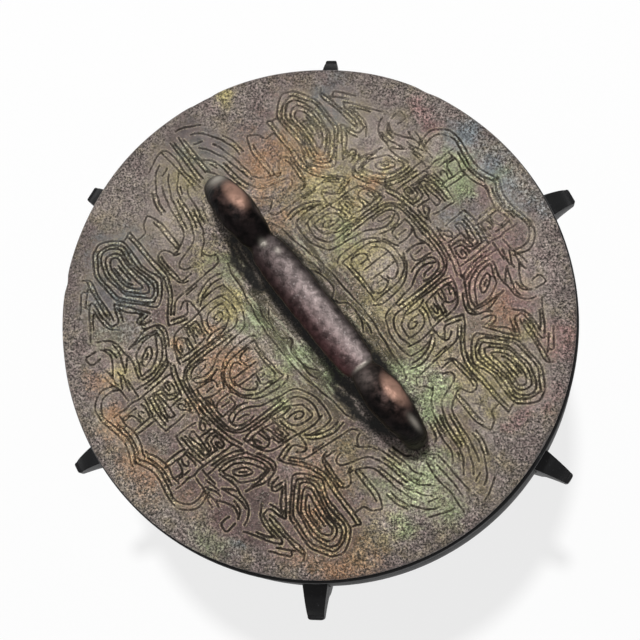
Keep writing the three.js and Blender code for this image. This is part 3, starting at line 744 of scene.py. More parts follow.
# %% Distance to the nearest groove
GROOVE_HALF = 0.32
GROOVE_DEPTH = 0.55
RASTER = 0.1
SIDE = int(2 * LID_RADIUS / MM / RASTER) + 20
MIDDLE = SIDE / 2
REACH = 14
FAR = 9


def dense(stroke, step=0.08):
    """The same line with a point every step."""
    legs = np.linalg.norm(np.diff(stroke, axis=0), axis=1)
    at = np.concatenate([[0], np.cumsum(legs)])
    want = np.arange(0, at[-1], step)
    return np.stack([np.interp(want, at, stroke[:, k]) for k in (0, 1)], 1)


samples = np.vstack([dense(g) for g in grooves])
near = np.full((SIDE, SIDE), FAR, np.float32)
for ox in range(-REACH, REACH + 1):
    for oy in range(-REACH, REACH + 1):
        cell = np.floor(samples / RASTER + MIDDLE).astype(int) + (ox, oy)
        off = np.hypot(*((cell + 0.5 - MIDDLE) * RASTER - samples).T).astype(np.float32)
        np.minimum.at(near, (cell[:, 1], cell[:, 0]), off)


def sampled(grid, p):
    """The grid's value at each point, mixed from the four cells round it."""
    q = p / RASTER + MIDDLE - 0.5
    i = np.clip(np.floor(q).astype(int), 0, SIDE - 2)
    f = q - i
    x, y = i[:, 0], i[:, 1]
    low = grid[y, x] * (1 - f[:, 0]) + grid[y, x + 1] * f[:, 0]
    high = grid[y + 1, x] * (1 - f[:, 0]) + grid[y + 1, x + 1] * f[:, 0]
    return low * (1 - f[:, 1]) + high * f[:, 1]


def distance(p):
    """Distance in millimetres from each point to the nearest groove's middle line."""
    return sampled(near, p)


print("groove samples:", len(samples))

# %% [markdown]
# ## Crowded ground and narrow bands
#
# Where grooves run close together, the bands between them are narrow and sandy. Where they stand apart,
# the ground is smooth. Two grids tell them apart: a blur of all that is cut away, and the cells round
# which no place lies far from a groove. A box blur from running sums is fast and needs no other library.

# %% Crowded ground and narrow bands
CROWD_REACH = 7
ROOM_REACH = 5.5
NARROW_ROOM = 0.66
NARROW_FADE = 0.12


def blurred(grid, reach):
    """A box blur over reach cells to each side."""
    width = 2 * reach + 1
    total = np.pad(grid, ((reach + 1, reach), (reach + 1, reach))).cumsum(0).cumsum(1)
    square = total[width:, width:] - total[:-width, width:] - total[width:, :-width] + total[:-width, :-width]
    return square / width**2


def greatest(grid, reach):
    """The greatest value within reach cells of each cell."""
    size = int(reach)
    padded = np.pad(grid, size)
    out = grid.copy()
    for dx in range(2 * size + 1):
        for dy in range(2 * size + 1):
            if math.hypot(dx - size, dy - size) <= reach:
                np.maximum(out, padded[dy : dy + SIDE, dx : dx + SIDE], out=out)
    return out


crowd = blurred(blurred((near < GROOVE_HALF).astype(float), CROWD_REACH), CROWD_REACH)
narrow = blurred(np.clip((NARROW_ROOM - greatest(near, ROOM_REACH)) / NARROW_FADE, 0, 1), 1)
print("share of narrow bands:", round(float(narrow.mean()), 3))

# %% [markdown]
# ## Scratches
#
# A painted shadow of the handle, mixed with dark grime, lies beside it, and a few pale scratches cross
# it. They only change the colour, so they could be an image. Short lines in the handle's directions do it
# too, with some mesh points along them to hold the value.

# %% Scratches
SCRATCHES = [
    [(-25.2, -3.2), (-22.8, -3.7), (-20.6, -3.9), (-18.3, -4.0), (-16.2, -4.4), (-14.3, -4.5)],
    [(-28.3, -3.7), (-26.7, -5.2), (-24.5, -6.2)],
    [(-25.4, -4.4), (-22.0, -5.2), (-20.2, -5.5)],
    [(12.6, -3.2), (13.6, -3.1), (15.3, -2.7), (16.7, -2.2)],
    [(19.7, -4.6), (21.5, -4.4), (23.8, -4.3), (26.2, -4.2)],
    [(21.4, -4.9), (23.9, -5.0), (25.7, -4.8)],
    [(15.4, -5.8), (16.8, -5.3), (18.5, -5.2)],
    [(-26.0, 5.0), (-23.6, 4.9), (-20.5, 4.9), (-18.0, 5.0), (-15.9, 5.3)],
]
scratches = [to_lid(smooth(points)) for points in SCRATCHES]
print("scratches:", len(scratches))

# %% [markdown]
# ## The points of the lid's top
#
# A groove is only 0.65 mm wide, so an even grid would need a million faces. Points are laid along each
# groove instead, on its middle, on its edges and round its ends. Where two grooves run side by side, a
# point stays only with the nearer one. A Delaunay mesh can join points that lie in any order.

# %% Points along the lines
GROOVE_OFFSETS = (0, -0.18, 0.18, -0.36, 0.36, -0.56, 0.56, -0.8, 0.8)
SCRATCH_OFFSETS = (0, -0.25, 0.25, -0.5, 0.5)
END_RINGS = (0.2, 0.38, 0.6)
END_SPOKES = 8


def sideways(q):
    """A unit step across the line, at each of its points."""
    d = np.gradient(q, axis=0)
    d /= np.linalg.norm(d, axis=1)[:, None] + 1e-9
    return np.stack([-d[:, 1], d[:, 0]], 1)


def along_groove(stroke):
    """Points on a groove, beside it and round its ends, where no other groove is nearer."""
    q = dense(stroke, 0.5)
    if len(q) < 2:
        return q
    around = np.arange(END_SPOKES) * 2 * math.pi / END_SPOKES
    spokes = np.stack([np.cos(around), np.sin(around)], 1)
    sets = [(offset, q + sideways(q) * offset) for offset in GROOVE_OFFSETS]
    sets += [(r, end + spokes * r) for r in END_RINGS for end in (stroke[0], stroke[-1])]
    return np.vstack([p[distance(p) > abs(offset) * 0.86 - 0.06] for offset, p in sets])


def along_scratch(stroke):
    """Points on a scratch and beside it."""
    q = dense(stroke, 0.4)
    return np.vstack([q + sideways(q) * offset for offset in SCRATCH_OFFSETS])


def thin_out(p, cell=0.14):
    """At most one point in each small square."""
    _, first = np.unique(np.floor(p / cell).astype(int), axis=0, return_index=True)
    return p[np.sort(first)]


line_points = [along_groove(g) for g in grooves] + [along_scratch(s) for s in scratches]
line_points = thin_out(np.vstack(line_points))
print("points along the lines:", len(line_points))

# %% [markdown]
# The plain ground needs few points. They are pushed off their grid by a fixed random draw, because an
# even grid would show in the light as rows. The mesh then joins them and the lines' points inside the
# ring of the rim.

# %% Points of the ground
EDGE_ROUND = 0.6
TOP_RADIUS = LID_RADIUS / MM - EDGE_ROUND
RIM_POINTS = 360
GROUND_STEP = 1.0
GROUND_PUSH = 0.32
GROUND_FROM_GROOVE = 0.95
GROUND_FROM_RIM = 0.6
POINT_FROM_RIM = 0.4

random = np.random.default_rng(7)
ticks = np.arange(-TOP_RADIUS, TOP_RADIUS, GROUND_STEP)
ground = np.stack(np.meshgrid(ticks, ticks), -1).reshape(-1, 2)
ground = ground + random.uniform(-GROUND_PUSH, GROUND_PUSH, ground.shape)
ground = ground[np.hypot(*ground.T) < TOP_RADIUS - GROUND_FROM_RIM]
ground = ground[distance(ground) > GROUND_FROM_GROOVE]
inside = np.vstack([line_points, ground])
inside = inside[np.hypot(*inside.T) < TOP_RADIUS - POINT_FROM_RIM]
rim_turn = np.arange(RIM_POINTS) * 2 * math.pi / RIM_POINTS
rim = np.stack([np.cos(rim_turn), np.sin(rim_turn)], 1) * TOP_RADIUS
plan = [Vector(p) for p in np.vstack([rim, inside])]
rim_edges = [(i, (i + 1) % RIM_POINTS) for i in range(RIM_POINTS)]
result = delaunay_2d_cdt(plan, rim_edges, [], 1, 1e-5)
top_plan = np.array([v[:] for v in result[0]])
top_faces = [tuple(f) for f in result[2]]
print("top:", len(top_plan), "points,", len(top_faces), "faces")

# %% [markdown]
# ## Patina places
#
# The patina isn't even: verdigris lies beside the handle and at the lower right, ochre over the middle
# of each mask, rust at the left and at the bottom, a red bloom at the right and a cool sheen near the
# edge. Five more sets say where the ground is dark or light, where the lines are faded or bold, and
# where the skin is rough or, with a strength below 0, calm. An image could hold all this at one
# fineness. Soft round patches take four numbers each, and the mesh holds them as shares.

# %% Patina places
# Each patch: x and y of its middle and its radius, in millimetres, then its strength.
PATCHES = {
    "red": [
        (37, 11, 11, 1.0), (47, 4, 6, 0.8), (37, 28, 4, 0.6), (-15, -30, 11, 0.7), (-21, -45, 8, 0.7),
        (-4, -37, 8, 0.6), (-7, 51, 9, 0.3), (8, 53, 7, 0.2), (27, 47, 3, 0.9), (58, -6, 5, 0.7),
        (-27, -33, 9, 0.5), (45, -23, 3, 0.6), (53, -20, 6, 0.5), (-20, -20, 7, 0.6), (0, -45, 6, 0.6),
    ],
    "rust": [
        (-21, -14, 7, 1.0), (-23, -4, 4, 0.8), (-11, 37, 9, 0.8), (1, 37, 4, 0.7), (-41, -36, 6, 0.8),
        (-30, -41, 5, 0.7), (3, -42, 8, 0.7), (7, -56, 7, 1.0), (-3, -54, 5, 0.7), (-45, -25, 5, 0.8),
        (13, 33, 3, 0.8), (-50, -14, 5, 0.6), (-7, 22, 5, 0.6), (-34, -7, 3, 0.6), (45, 1, 5, 0.7),
        (-1, -33, 4, 0.6), (-26, -19, 4, 0.6),
    ],
    "ochre": [
        (3, 28, 14, 0.75), (17, -1, 12, 0.6), (-30, 34, 8, 0.5), (-20, 53, 3, 1.0), (8, 14, 7, 0.8),
        (38, -13, 8, 0.8), (-34, -19, 9, 0.2), (-1, -24, 9, 0.8), (-26, 15, 6, 0.7), (27, 4, 7, 0.3),
        (31, -28, 7, 0.6), (10, -51, 6, 0.6), (-19, 5, 5, 1.0), (-45, -12, 4, 0.9), (6, -35, 7, 0.7),
        (28, -7, 6, 0.6), (37, -35, 5, 0.6), (-8, -14, 5, 0.7), (52, -4, 4, 0.6),
    ],
    "verdigris": [
        (-12, 0, 4, 1.0), (-4, -8, 5, 1.0), (2, -14, 3, 0.9), (21, -12, 5, 0.9), (28, -19, 5, 0.9),
        (33, 35, 5, 0.8), (43, 31, 4, 0.7), (-10, -17, 7, 0.6), (7, 20, 4, 0.6), (24, -37, 7, 0.8),
        (28, -44, 6, 0.6), (20, -48, 5, 0.5), (15, -40, 5, 0.6), (-25, -51, 7, 0.5), (-22, 14, 5, 0.5),
        (-48, -4, 5, 0.4),
    ],
    "sheen": [
        (35, 43, 5, 1.0), (41, 35, 5, 0.8), (46, 27, 5, 0.7), (-47, 6, 9, 0.8), (-40, -2, 6, 0.4),
        (53, 25, 4, 0.5), (-19, -53, 5, 0.4), (33, 24, 7, 0.5), (-45, 17, 7, 0.5), (3, 53, 8, 0.4),
        (-28, 41, 7, 0.5),
    ],
}
print("tinted patches:", {name: len(patches) for name, patches in PATCHES.items()})

# %% [markdown]
# The other five sets change how dark, bold or rough a place is, and not its tint. They are kept in the
# same table, so that one loop stores all ten on the mesh.

# %% Light, bold and rough places
PATCHES |= {
    "dark": [
        (-45, 8, 9, 0.8), (-38, 2, 6, 0.5), (-30, 45, 6, 0.8), (20, 27, 5, 0.3), (27, 7, 4, 0.8),
        (-12, 20, 7, 0.5), (37, 18, 7, 0.3), (-17, -27, 8, 0.6), (-27, -37, 8, 0.9), (-30, -4, 4, 0.2),
        (43, -7, 4, 0.4), (1, -46, 9, 0.8), (-14, -43, 9, 1.0), (-24, -44, 6, 0.6), (33, -29, 4, 0.3),
        (-37, -26, 4, 0.6), (-25, 30, 4, 0.2), (12, -52, 4, 0.6), (8, -28, 7, 1.0), (37, -37, 5, 0.6),
        (12, -37, 4, 0.4), (20, 21, 5, 0.5), (-46, -3, 6, 0.4), (-44, -20, 4, 0.4), (36, 28, 5, 0.3),
    ],
    "light": [
        (-21, 52, 4, 0.9), (-50, 27, 5, 0.5), (-35, 24, 4, 0.7), (3, 35, 6, 1.0), (4, 43, 6, 0.8),
        (15, 38, 6, 0.8), (-15, 29, 6, 0.6), (5, 28, 5, 0.7), (30, 37, 5, 0.6), (45, 31, 5, 0.5),
        (13, 12, 6, 1.0), (22, -12, 4, 1.1), (31, -16, 6, 1.2), (-6, -8, 4, 1.5), (-16, 4, 4, 1.2),
        (-45, -11, 5, 1.2), (-35, -12, 4, 0.9), (-27, 0, 5, 0.7), (-16, -8, 4, 0.6), (22, -37, 5, 1.3),
        (17, -45, 5, 1.0), (55, 24, 4, 0.7), (52, 12, 5, 0.9), (36, 12, 5, 0.5), (-47, -23, 4, 0.4),
        (47, -23, 4, 0.4), (20, -28, 4, 0.5), (40, -12, 6, 0.5), (36, 36, 5, 0.4), (52, 14, 5, 0.4),
        (12, 28, 6, 0.5), (28, -2, 4, 0.7), (17, 1, 4, 0.9), (38, -13, 4, 0.8), (-4, 18, 4, 0.3),
    ],
    "faded": [
        (44, 23, 9, 0.8), (3, 40, 20, 0.8), (40, -20, 12, 0.2), (-8.5, 35, 9, 0.8), (-9, -10, 5, 0.6),
        (5, 40, 10, 0.5), (-30, 30, 9, 0.5), (50, -5, 6, 0.4),
    ],
    "bold": [
        (27, 8, 6, 1.0), (7, 5, 5, 0.6), (12, -4, 5, 0.6), (-20, -28, 13, 0.6), (-2, -22, 8, 0.4),
        (4, -45, 8, 0.7), (-31, -34, 9, 0.6), (-12, -45, 11, 0.8), (31, -28, 5, 0.5), (-36, 3, 8, 0.3),
        (-35, -15, 8, 0.3), (37, -9, 8, 0.4), (20, 28, 6, 0.3), (33, 0, 6, 0.5),
    ],
    "rough": [
        (-20, -15, 20, 0.8), (9, 2, 8, 1.2), (28, 7, 5, 0.9), (23, -38, 9, 0.8), (0, -33, 12, 0.7),
        (-40, 0, 12, 0.5), (0, 25, 13, 0.5), (28, -12, 9, 0.9), (-17, 6, 6, 0.9), (-25, 22, 8, 0.5),
        (0, -53, 9, 0.6), (-35, -38, 9, 0.5), (5, 51, 13, -0.7), (-30, 45, 13, -0.7), (-50, 20, 14, -0.7),
        (-45, 8, 9, -0.5),
    ],
}
print("all sets:", *PATCHES)

# %% [markdown]
# A round patch would look airbrushed. So the points are pushed about by a few smooth waves before their
# distance to a patch is taken, which frays its border at three sizes.

# %% Ragged patches
# Each row: size of the waves and how far they push, in millimetres.
FRAYS = ((5, 4.5), (2, 2.5), (0.8, 1.2))
WAVES = 6


def roll(p, seed, size):
    """A smooth random value from a few waves of about this size in millimetres."""
    waves = np.random.default_rng(seed)
    total = np.zeros(len(p))
    for _ in range(WAVES):
        k = waves.normal(0, 1 / size, 2)
        total += np.sin(p @ k + waves.uniform(0, 6.28))
    return total / WAVES


def ragged(p):
    """The points pushed about at three sizes, so that a patch gets a ragged border."""
    pushed = p.copy()
    for size, amount in FRAYS:
        seed = int(size * 10)
        pushed += amount * np.stack([roll(p, seed, size), roll(p, seed + 1, size)], 1)
    return pushed


def patch_share(p, patches):
    """The strongest patch's bell at each point."""
    share = np.zeros(len(p))
    for x, y, radius, strength in patches:
        off = np.hypot(p[:, 0] - x, p[:, 1] - y)
        bell = strength * np.exp(-((off / radius) ** 2))
        share = np.where(np.abs(bell) > np.abs(share), bell, share)
    return share


print("frays in mm:", [amount for _, amount in FRAYS])

# %% [markdown]
# ## The lid's heights
#
# A groove's section is a smooth round dip. The narrow bands between grooves stand a little lower than
# the smooth ground, and slow waves keep the casting from looking milled. A displacement in the shader
# would not change the mesh itself, so each height is in the mesh. All of it calms down towards the rim.

# %% Lid heights
NARROW_SINK = 0.12
GROUND_SINK = 0.03
UNEVEN = 0.06
CALM_WIDTH = 2
away = distance(top_plan)
groove_share = np.clip(1 - away / GROOVE_HALF, 0, 1)
groove_share = groove_share * groove_share * (3 - 2 * groove_share)
calm = np.clip((TOP_RADIUS - np.hypot(*top_plan.T)) / CALM_WIDTH, 0, 1)
relief = -NARROW_SINK * sampled(narrow, top_plan) - GROOVE_DEPTH * groove_share
relief = relief - GROUND_SINK - UNEVEN * roll(top_plan, 3, 4.0)
height = LID_TOP / MM + relief * calm
print("relief in mm:", round(float(relief.min()), 2), "to", round(float(relief.max()), 2))

# %% [markdown]
# ## The lid's body
#
# Under its top the lid is a turned plate with a ring that stands in the bowl's mouth. Its edge is worn
# and has five chips. A Boolean could cut the chips, but pulling the ring's points inwards there leaves
# clean faces. The body starts from the top's own rim points, so the piece is one closed skin.

# %% Lid body
PLATE_RADIUS = round(LID_RADIUS / MM, 3)
TOP_Z = LID_TOP / MM
UNDERSIDE = TOP_Z - 3.2
SPIGOT_OUTER = 53.8
SPIGOT_INNER = 51.3
SPIGOT_END = UNDERSIDE - 5
CHIP_FLOOR = TOP_Z - 1.6
RIM_WEAR = 0.1
# Each row: direction in degrees, depth in millimetres and half width in degrees.
CHIPS = [(117, 0.7, 2.2), (-28.5, 0.5, 1.6), (-32, 0.45, 1.2), (171, 0.35, 1.5), (64, 0.25, 1.8)]
LID_PROFILE = [
    (PLATE_RADIUS - 0.25, TOP_Z - 0.12), (PLATE_RADIUS - 0.04, TOP_Z - 0.42), (PLATE_RADIUS, TOP_Z - 0.8),
    (PLATE_RADIUS, UNDERSIDE + 0.7), (PLATE_RADIUS - 0.25, UNDERSIDE + 0.15), (PLATE_RADIUS - 0.7, UNDERSIDE),
    (SPIGOT_OUTER + 0.3, UNDERSIDE), (SPIGOT_OUTER, UNDERSIDE - 0.3), (SPIGOT_OUTER, SPIGOT_END + 0.6),
    (SPIGOT_OUTER - 0.6, SPIGOT_END), (SPIGOT_INNER + 0.4, SPIGOT_END), (SPIGOT_INNER, SPIGOT_END + 0.4),
    (SPIGOT_INNER, UNDERSIDE - 0.3), (SPIGOT_INNER - 0.4, UNDERSIDE), (30, UNDERSIDE), (10, UNDERSIDE),
]


def worn_radius(r, z, angle):
    """The profile's radius with the wear and the chips of the edge."""
    dip = 0.0
    for degrees, deep, wide in CHIPS:
        off = (math.degrees(angle) - degrees + 180) % 360 - 180
        dip += deep * math.exp(-((off / wide) ** 2)) * (z > CHIP_FLOOR)
    wobble = 0.07 * math.sin(angle * 5 + 1) + 0.05 * math.sin(angle * 11)
    return r - dip - RIM_WEAR + (wobble if r > 58 else 0)


mesh = bmesh.new()
verts = [mesh.verts.new(Vector((x, y, z)) * MM) for (x, y), z in zip(top_plan, height)]
for f in top_faces:
    mesh.faces.new([verts[i] for i in f])
border = verts[:RIM_POINTS]
for r, z in LID_PROFILE:
    ring = []
    for k in range(RIM_POINTS):
        angle = k * 2 * math.pi / RIM_POINTS
        rr = worn_radius(r, z, angle)
        ring.append(mesh.verts.new(Vector((rr * math.cos(angle), rr * math.sin(angle), z)) * MM))
    for k in range(RIM_POINTS):
        n = (k + 1) % RIM_POINTS
        mesh.faces.new((border[k], ring[k], ring[n], border[n]))
    border = ring
hub = mesh.verts.new(Vector((0, 0, UNDERSIDE)) * MM)
for k in range(RIM_POINTS):
    mesh.faces.new((border[k], hub, border[(k + 1) % RIM_POINTS]))
lid_mesh = mesh_from(mesh, "lid")
lid = added("lid_with_masks", lid_mesh)
print("lid faces:", len(lid_mesh.polygons))

# %% [markdown]
# ## Values stored on the lid
#
# The finish has to know where the grooves, the bands and the patches are. A UV map with a painted image
# would tell it. Numbers stored on the points do the same, and they follow the mesh as finely as it goes.

# %% Values of the ornament
def store(piece, name, values):
    """Keeps a number for each point of the piece."""
    attribute = piece.data.attributes.new(name, "FLOAT", "POINT")
    attribute.data.foreach_set("value", np.asarray(values, np.float32))


def where_top(values, other=0):
    """The values on the lid's top, and another one on the rest of it."""
    return np.where(on_top, values, other)


co = np.array([v.co[:] for v in lid_mesh.vertices]) / MM
flat = co[:, :2]
from_middle = np.hypot(*flat.T)
on_top = (co[:, 2] > TOP_Z - 0.9) & (from_middle < TOP_RADIUS + 0.01)
band_share = where_top(sampled(narrow, flat))
drawn_share = where_top(np.clip(sampled(blurred(crowd, 18), flat) / 0.25, 0, 1))
store(lid, "gap", np.clip(where_top(distance(flat), FAR), 0, 1.2))
store(lid, "sandy", band_share)
store(lid, "ornament", drawn_share)
store(lid, "smooth", drawn_share * (1 - band_share))
store(lid, "haze", where_top(sampled(blurred(blurred(narrow, 8), 8), flat)))
store(lid, "rim", np.clip((from_middle - 58.6) / 1.2, 0, 1))
spread = ragged(flat)
for name, patches in PATCHES.items():
    store(lid, name, patch_share(spread, patches))
print("points on the top:", int(on_top.sum()))

# %% [markdown]
# A painted shadow of the handle, mixed with dark grime, lies close to it on both sides, with borders that
# run along it. Beside it the patina is drawn out in streaks. Both could be patches too, but they follow
# the handle, so they are given in its own directions.

# %% Values beside the handle
# The borders of the painted shadow and grime: how far across the handle they reach at places along it, in mm.
SHADOW_GRIME_LOW = [(-32, 0), (-28, -4.5), (-24.5, -7), (-22, -7.5), (-20, -7.5), (-14, -7), (-12, -5.3), (12, -4.9),
             (14.5, -6.8), (17, -7.5), (22, -7.5), (25, -7), (28, -6.2), (31, -4.5), (33, -3), (38, 0)]
SHADOW_GRIME_HIGH = [(-32, 0), (-22, 4), (-20, 6.2), (30, 6.2), (32, 4), (38, 0)]
SHADOW_GRIME_FADE_LOW, SHADOW_GRIME_FADE_HIGH = 0.8, 0.4
STREAK_PLACE, STREAK_WIDTH, STREAK_HALF_LENGTH, STREAK_FADE = 8.5, 4, 24, 6
SCRATCH_HALF = 0.38

along, across = from_lid(flat)
across = across + 0.35 * roll(flat, 41, 0.9)
low = across - np.interp(along, *np.transpose(SHADOW_GRIME_LOW))
high = np.interp(along, *np.transpose(SHADOW_GRIME_HIGH)) - across
# Share of the painted shadow and grime beside the handle, soft at its borders.
shadow_and_grime_share = np.clip(low / SHADOW_GRIME_FADE_LOW + 0.5, 0, 1) * np.clip(high / SHADOW_GRIME_FADE_HIGH + 0.5, 0, 1)
store(lid, "handle_shadow_and_grime", where_top(shadow_and_grime_share))
beside = np.exp(-(((np.abs(across) - STREAK_PLACE) / STREAK_WIDTH) ** 2))
beside = beside * np.clip((STREAK_HALF_LENGTH - np.abs(along)) / STREAK_FADE, 0, 1)
store(lid, "streaky", where_top(beside))
drawn = np.vstack([dense(s, 0.2) for s in scratches])
off = np.min(np.hypot(flat[:, None, 0] - drawn[None, :, 0], flat[:, None, 1] - drawn[None, :, 1]), axis=1)
store(lid, "scratch", where_top(np.exp(-((off / SCRATCH_HALF) ** 2))))
print("grimy points:", int((shadow_and_grime_share[on_top] > 0.5).sum()))

# %% [markdown]
# ## The lid's colours
#
# Old bronze is brown underneath, in broad clouds, with a yellow haze over the narrow bands. Each kind of
# patina brings in its own tint where its stored share and several noises are high together, so that no
# patch has a soft airbrushed border. The noises differ in size, from clouds of 14 mm to grains of a
# third of a millimetre.

# %% Lid colours
patina = Finish("lid_patina")
broad = patina.noise(70, 4)
medium = patina.noise(420, 4, 0.6, 3.0)
mottle = patina.noise(170, 6, 0.68, 21.0)
grain = patina.noise(2100, 3, 0.75, 5.0)
speck = patina.noise(1400, 2, 0.6, 9.0)
sparkle = patina.noise(2900, 1, 0.5, 14.0)
crust = patina.noise(900, 5, 0.7, 31.0)
stored = {name: patina.attribute(name) for name in (*PATCHES, "gap", "sandy", "ornament", "smooth")}
# Each kind of patina: its tint and its strength.
TINTS = {
    "ochre": (rgb(0.250, 0.215, 0.100), 0.9),
    "red": (rgb(0.265, 0.158, 0.148), 0.85),
    "rust": (rgb(0.285, 0.165, 0.095), 0.9),
    "verdigris": (rgb(0.200, 0.235, 0.130), 0.95),
    "sheen": (rgb(0.168, 0.190, 0.203), 0.9),
}

colour = patina.mix(broad.step(0.35, 0.65), rgb(0.175, 0.144, 0.132), rgb(0.240, 0.206, 0.182))
colour = patina.mix(mottle.step(0.48, 0.66) * 0.45, colour, rgb(0.235, 0.190, 0.100))
colour = patina.mix(mottle.step(0.50, 0.34) * 0.5, colour, rgb(0.165, 0.115, 0.110))
haze = patina.attribute("haze") * (medium.step(0.35, 0.6) * 0.45 + 0.2)
colour = patina.mix(haze, colour, rgb(0.250, 0.220, 0.110))
frayed = speck * 0.9 + grain * 0.6 + medium * 1.5 + mottle * 1.2
for name, (tint, strength) in TINTS.items():
    share = (frayed + stored[name] * 1.3 - 2.3).clamp() * stored[name].step(0.03, 0.3)
    colour = patina.mix(share * strength, colour, tint)
plum = (stored["smooth"] * (stored["bold"] * 1.4 + stored["dark"] * 0.9 + stored["red"] * 0.5)).clamp()
colour = patina.mix(plum * 0.8, colour, rgb(0.122, 0.080, 0.077))
print("tints:", *TINTS)

# %% [markdown]
# ## The lid's light and dark grain
#
# Seen close, old cast bronze is a field of light and dark specks, stronger on the rough places than on
# the smooth ones. A painted highlight runs along the edges of each line, and the crests between close
# grooves are rubbed. Each effect could be a layer of its own. One factor on the colour is simpler: every
# noise moves it up and down about 1. The distance to the groove is shaken by noise first, so that a
# line's borders are ragged.

# %% Lid grain
DARKEST = 0.12
smooth_share, rough, bold = stored["smooth"], stored["rough"], stored["bold"]
gap = stored["gap"] + crust * 0.20 + grain * 0.16 + mottle * 0.20 - 0.28
# Painted highlight along both edges of each groove, where light would catch its walls.
edge_highlight = gap.step(0.26, 0.36) * gap.step(0.62, 0.42) * stored["ornament"]
crest = stored["sandy"] * gap.step(0.28, 0.42)
dots = sparkle.step(0.45, 0.54)

grain_swing = 2.1 - smooth_share * 1.2 - plum * 0.4 + rough * 0.8
crust_swing = 0.5 - smooth_share * 0.3 + rough * 0.6
speck_swing = 0.6 - smooth_share * 0.25 + rough * 0.6
edge_highlight_swing = bold * 0.6 + 0.6 + plum * 1.2
bright = (1.0 - smooth_share * 0.15) * (grain.step(0.38, 0.62) - 0.47) * grain_swing + 1.0
bright = bright * ((crust.step(0.36, 0.64) - 0.5) * crust_swing + 1.0)
bright = bright * ((speck.step(0.43, 0.57) - 0.5) * speck_swing + 1.0)
bright = bright * (1.0 - medium.step(0.50, 0.66) * 0.30)
# The painted edge highlight brightens the colour beside each groove.
bright = bright * (edge_highlight * (dots * 0.6 + 0.15) * edge_highlight_swing + 1.0)
bright = bright * (crest * (dots * 1.5 - 0.15) + 1.0)
bright = bright * (stored["light"] * 0.5 + 1.13 - stored["dark"] * 0.28)
colour = patina.mix(1.0, colour, bright.math("MAXIMUM", DARKEST), "MULTIPLY")
print("grain nodes:", len(patina.tree.nodes))

# %% [markdown]
# ## Streaks, gold and dark lines
#
# Beside the handle the verdigris is drawn out along it. The noise for it is stretched by a Mapping node,
# which turns and scales the place it reads. Gold dots sit on crests, and on the edges as painted
# highlights, and pale and dark specks everywhere. The groove bottoms are nearly black, dark patina with
# painted shade in it, less so where the lines are faded, and a painted shadow of the handle, mixed with
# grime and crossed by scratches, covers the lot.

# %% Lid lines and specks
STRETCH = 7
along_handle = patina.node(
    "ShaderNodeMapping", {"vector_type": "TEXTURE"},
    Vector=patina.place(), Rotation=(0, 0, HANDLE_ANGLE), Scale=(STRETCH, 1, 1),
)
streaks = patina.node("ShaderNodeTexNoise", Vector=along_handle, Scale=1100.0, Detail=3.0, Roughness=0.6)
streaky = patina.attribute("streaky")
pale = streaks.step(0.56, 0.64) * streaky * (stored["verdigris"] * 0.8 + 0.4)
pale = pale * (grain.step(0.40, 0.55) * 0.4 + 0.6)
colour = patina.mix(pale.clamp(), colour, rgb(0.56, 0.60, 0.40))
colour = patina.mix((streaks.step(0.55, 0.47) * streaky).clamp() * 0.8, colour, rgb(0.035, 0.032, 0.018))
# Gold dots: gold sand on the crests and rough places, and a painted highlight on the groove edges.
gold_and_edge_highlight = dots * (crest * 0.36 + edge_highlight * (plum * 0.35 + 0.13) + rough * 0.08).clamp()
colour = patina.mix(gold_and_edge_highlight, colour, rgb(0.56, 0.50, 0.26))
colour = patina.mix(sparkle.step(0.35, 0.27) * (rough * 0.5 + 0.35), colour, rgb(0.70, 0.66, 0.54))
colour = patina.mix(grain.step(0.43, 0.33) * (rough * 0.6 + 0.2), colour, rgb(0.02, 0.016, 0.013))
# Dark groove paint: dark patina in the grooves, and painted shade where their walls would shade them.
groove_shade_and_patina = (gap.step(0.32, 0.12) + bold * gap.step(0.42, 0.24) * 0.5).clamp()
groove_shade_and_patina = groove_shade_and_patina * (mottle.step(0.62, 0.42) * 0.22 + 0.72 + bold * 0.2).clamp()
groove_shade_and_patina = groove_shade_and_patina * (1.0 - stored["faded"] * 0.7) * (1.0 - speck.step(0.54, 0.66) * 0.35)
colour = patina.mix(groove_shade_and_patina, colour, rgb(0.018, 0.012, 0.007))
# Painted shadow of the handle, mixed with dark grime, nearly black; the pale scratches thin it.
handle_shadow_and_grime = patina.attribute("handle_shadow_and_grime") * (1.0 - speck.step(0.60, 0.74) * 0.25)
handle_shadow_and_grime = handle_shadow_and_grime * (1.0 - patina.attribute("scratch") * 0.7)
colour = patina.mix(handle_shadow_and_grime, colour, rgb(0.006, 0.005, 0.004))
colour = patina.mix(patina.attribute("rim") * 0.3, colour, rgb(0.05, 0.042, 0.045))
patina.set(Base_Color=colour, Metallic=0.2, Roughness=(0.4 + grain * 0.3).clamp(), Specular_IOR_Level=0.3)
sand = grain * (1.2 - smooth_share * 0.7) + crust * 0.8 + speck * (stored["sandy"] + 0.2) + mottle * 1.0
patina.bump(sand, 1.0, 0.0008)
lid.data.materials.append(patina.material)
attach(lid, "lid")
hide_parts("lid_plate")
print("lid finished, nodes:", len(patina.tree.nodes))

# %% [markdown]
# ## The bridge handle
#
# The handle is one casting: a round bar that swells into a rounded raised head at each end and comes
# down to a narrow foot. It is lofted from rings along a curve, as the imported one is, with more rings, and
# with a crisp neck where each head meets the bar. Each foot's tenon goes through the lid and is hammered
# over under it.

# %% Handle skin
HANDLE_SPAN = 70.4
HANDLE_OFFSET = 0.8
BAR_HEIGHT = 13.9
SQUARENESS = 2.6
FOOT_DEPTH = -0.15
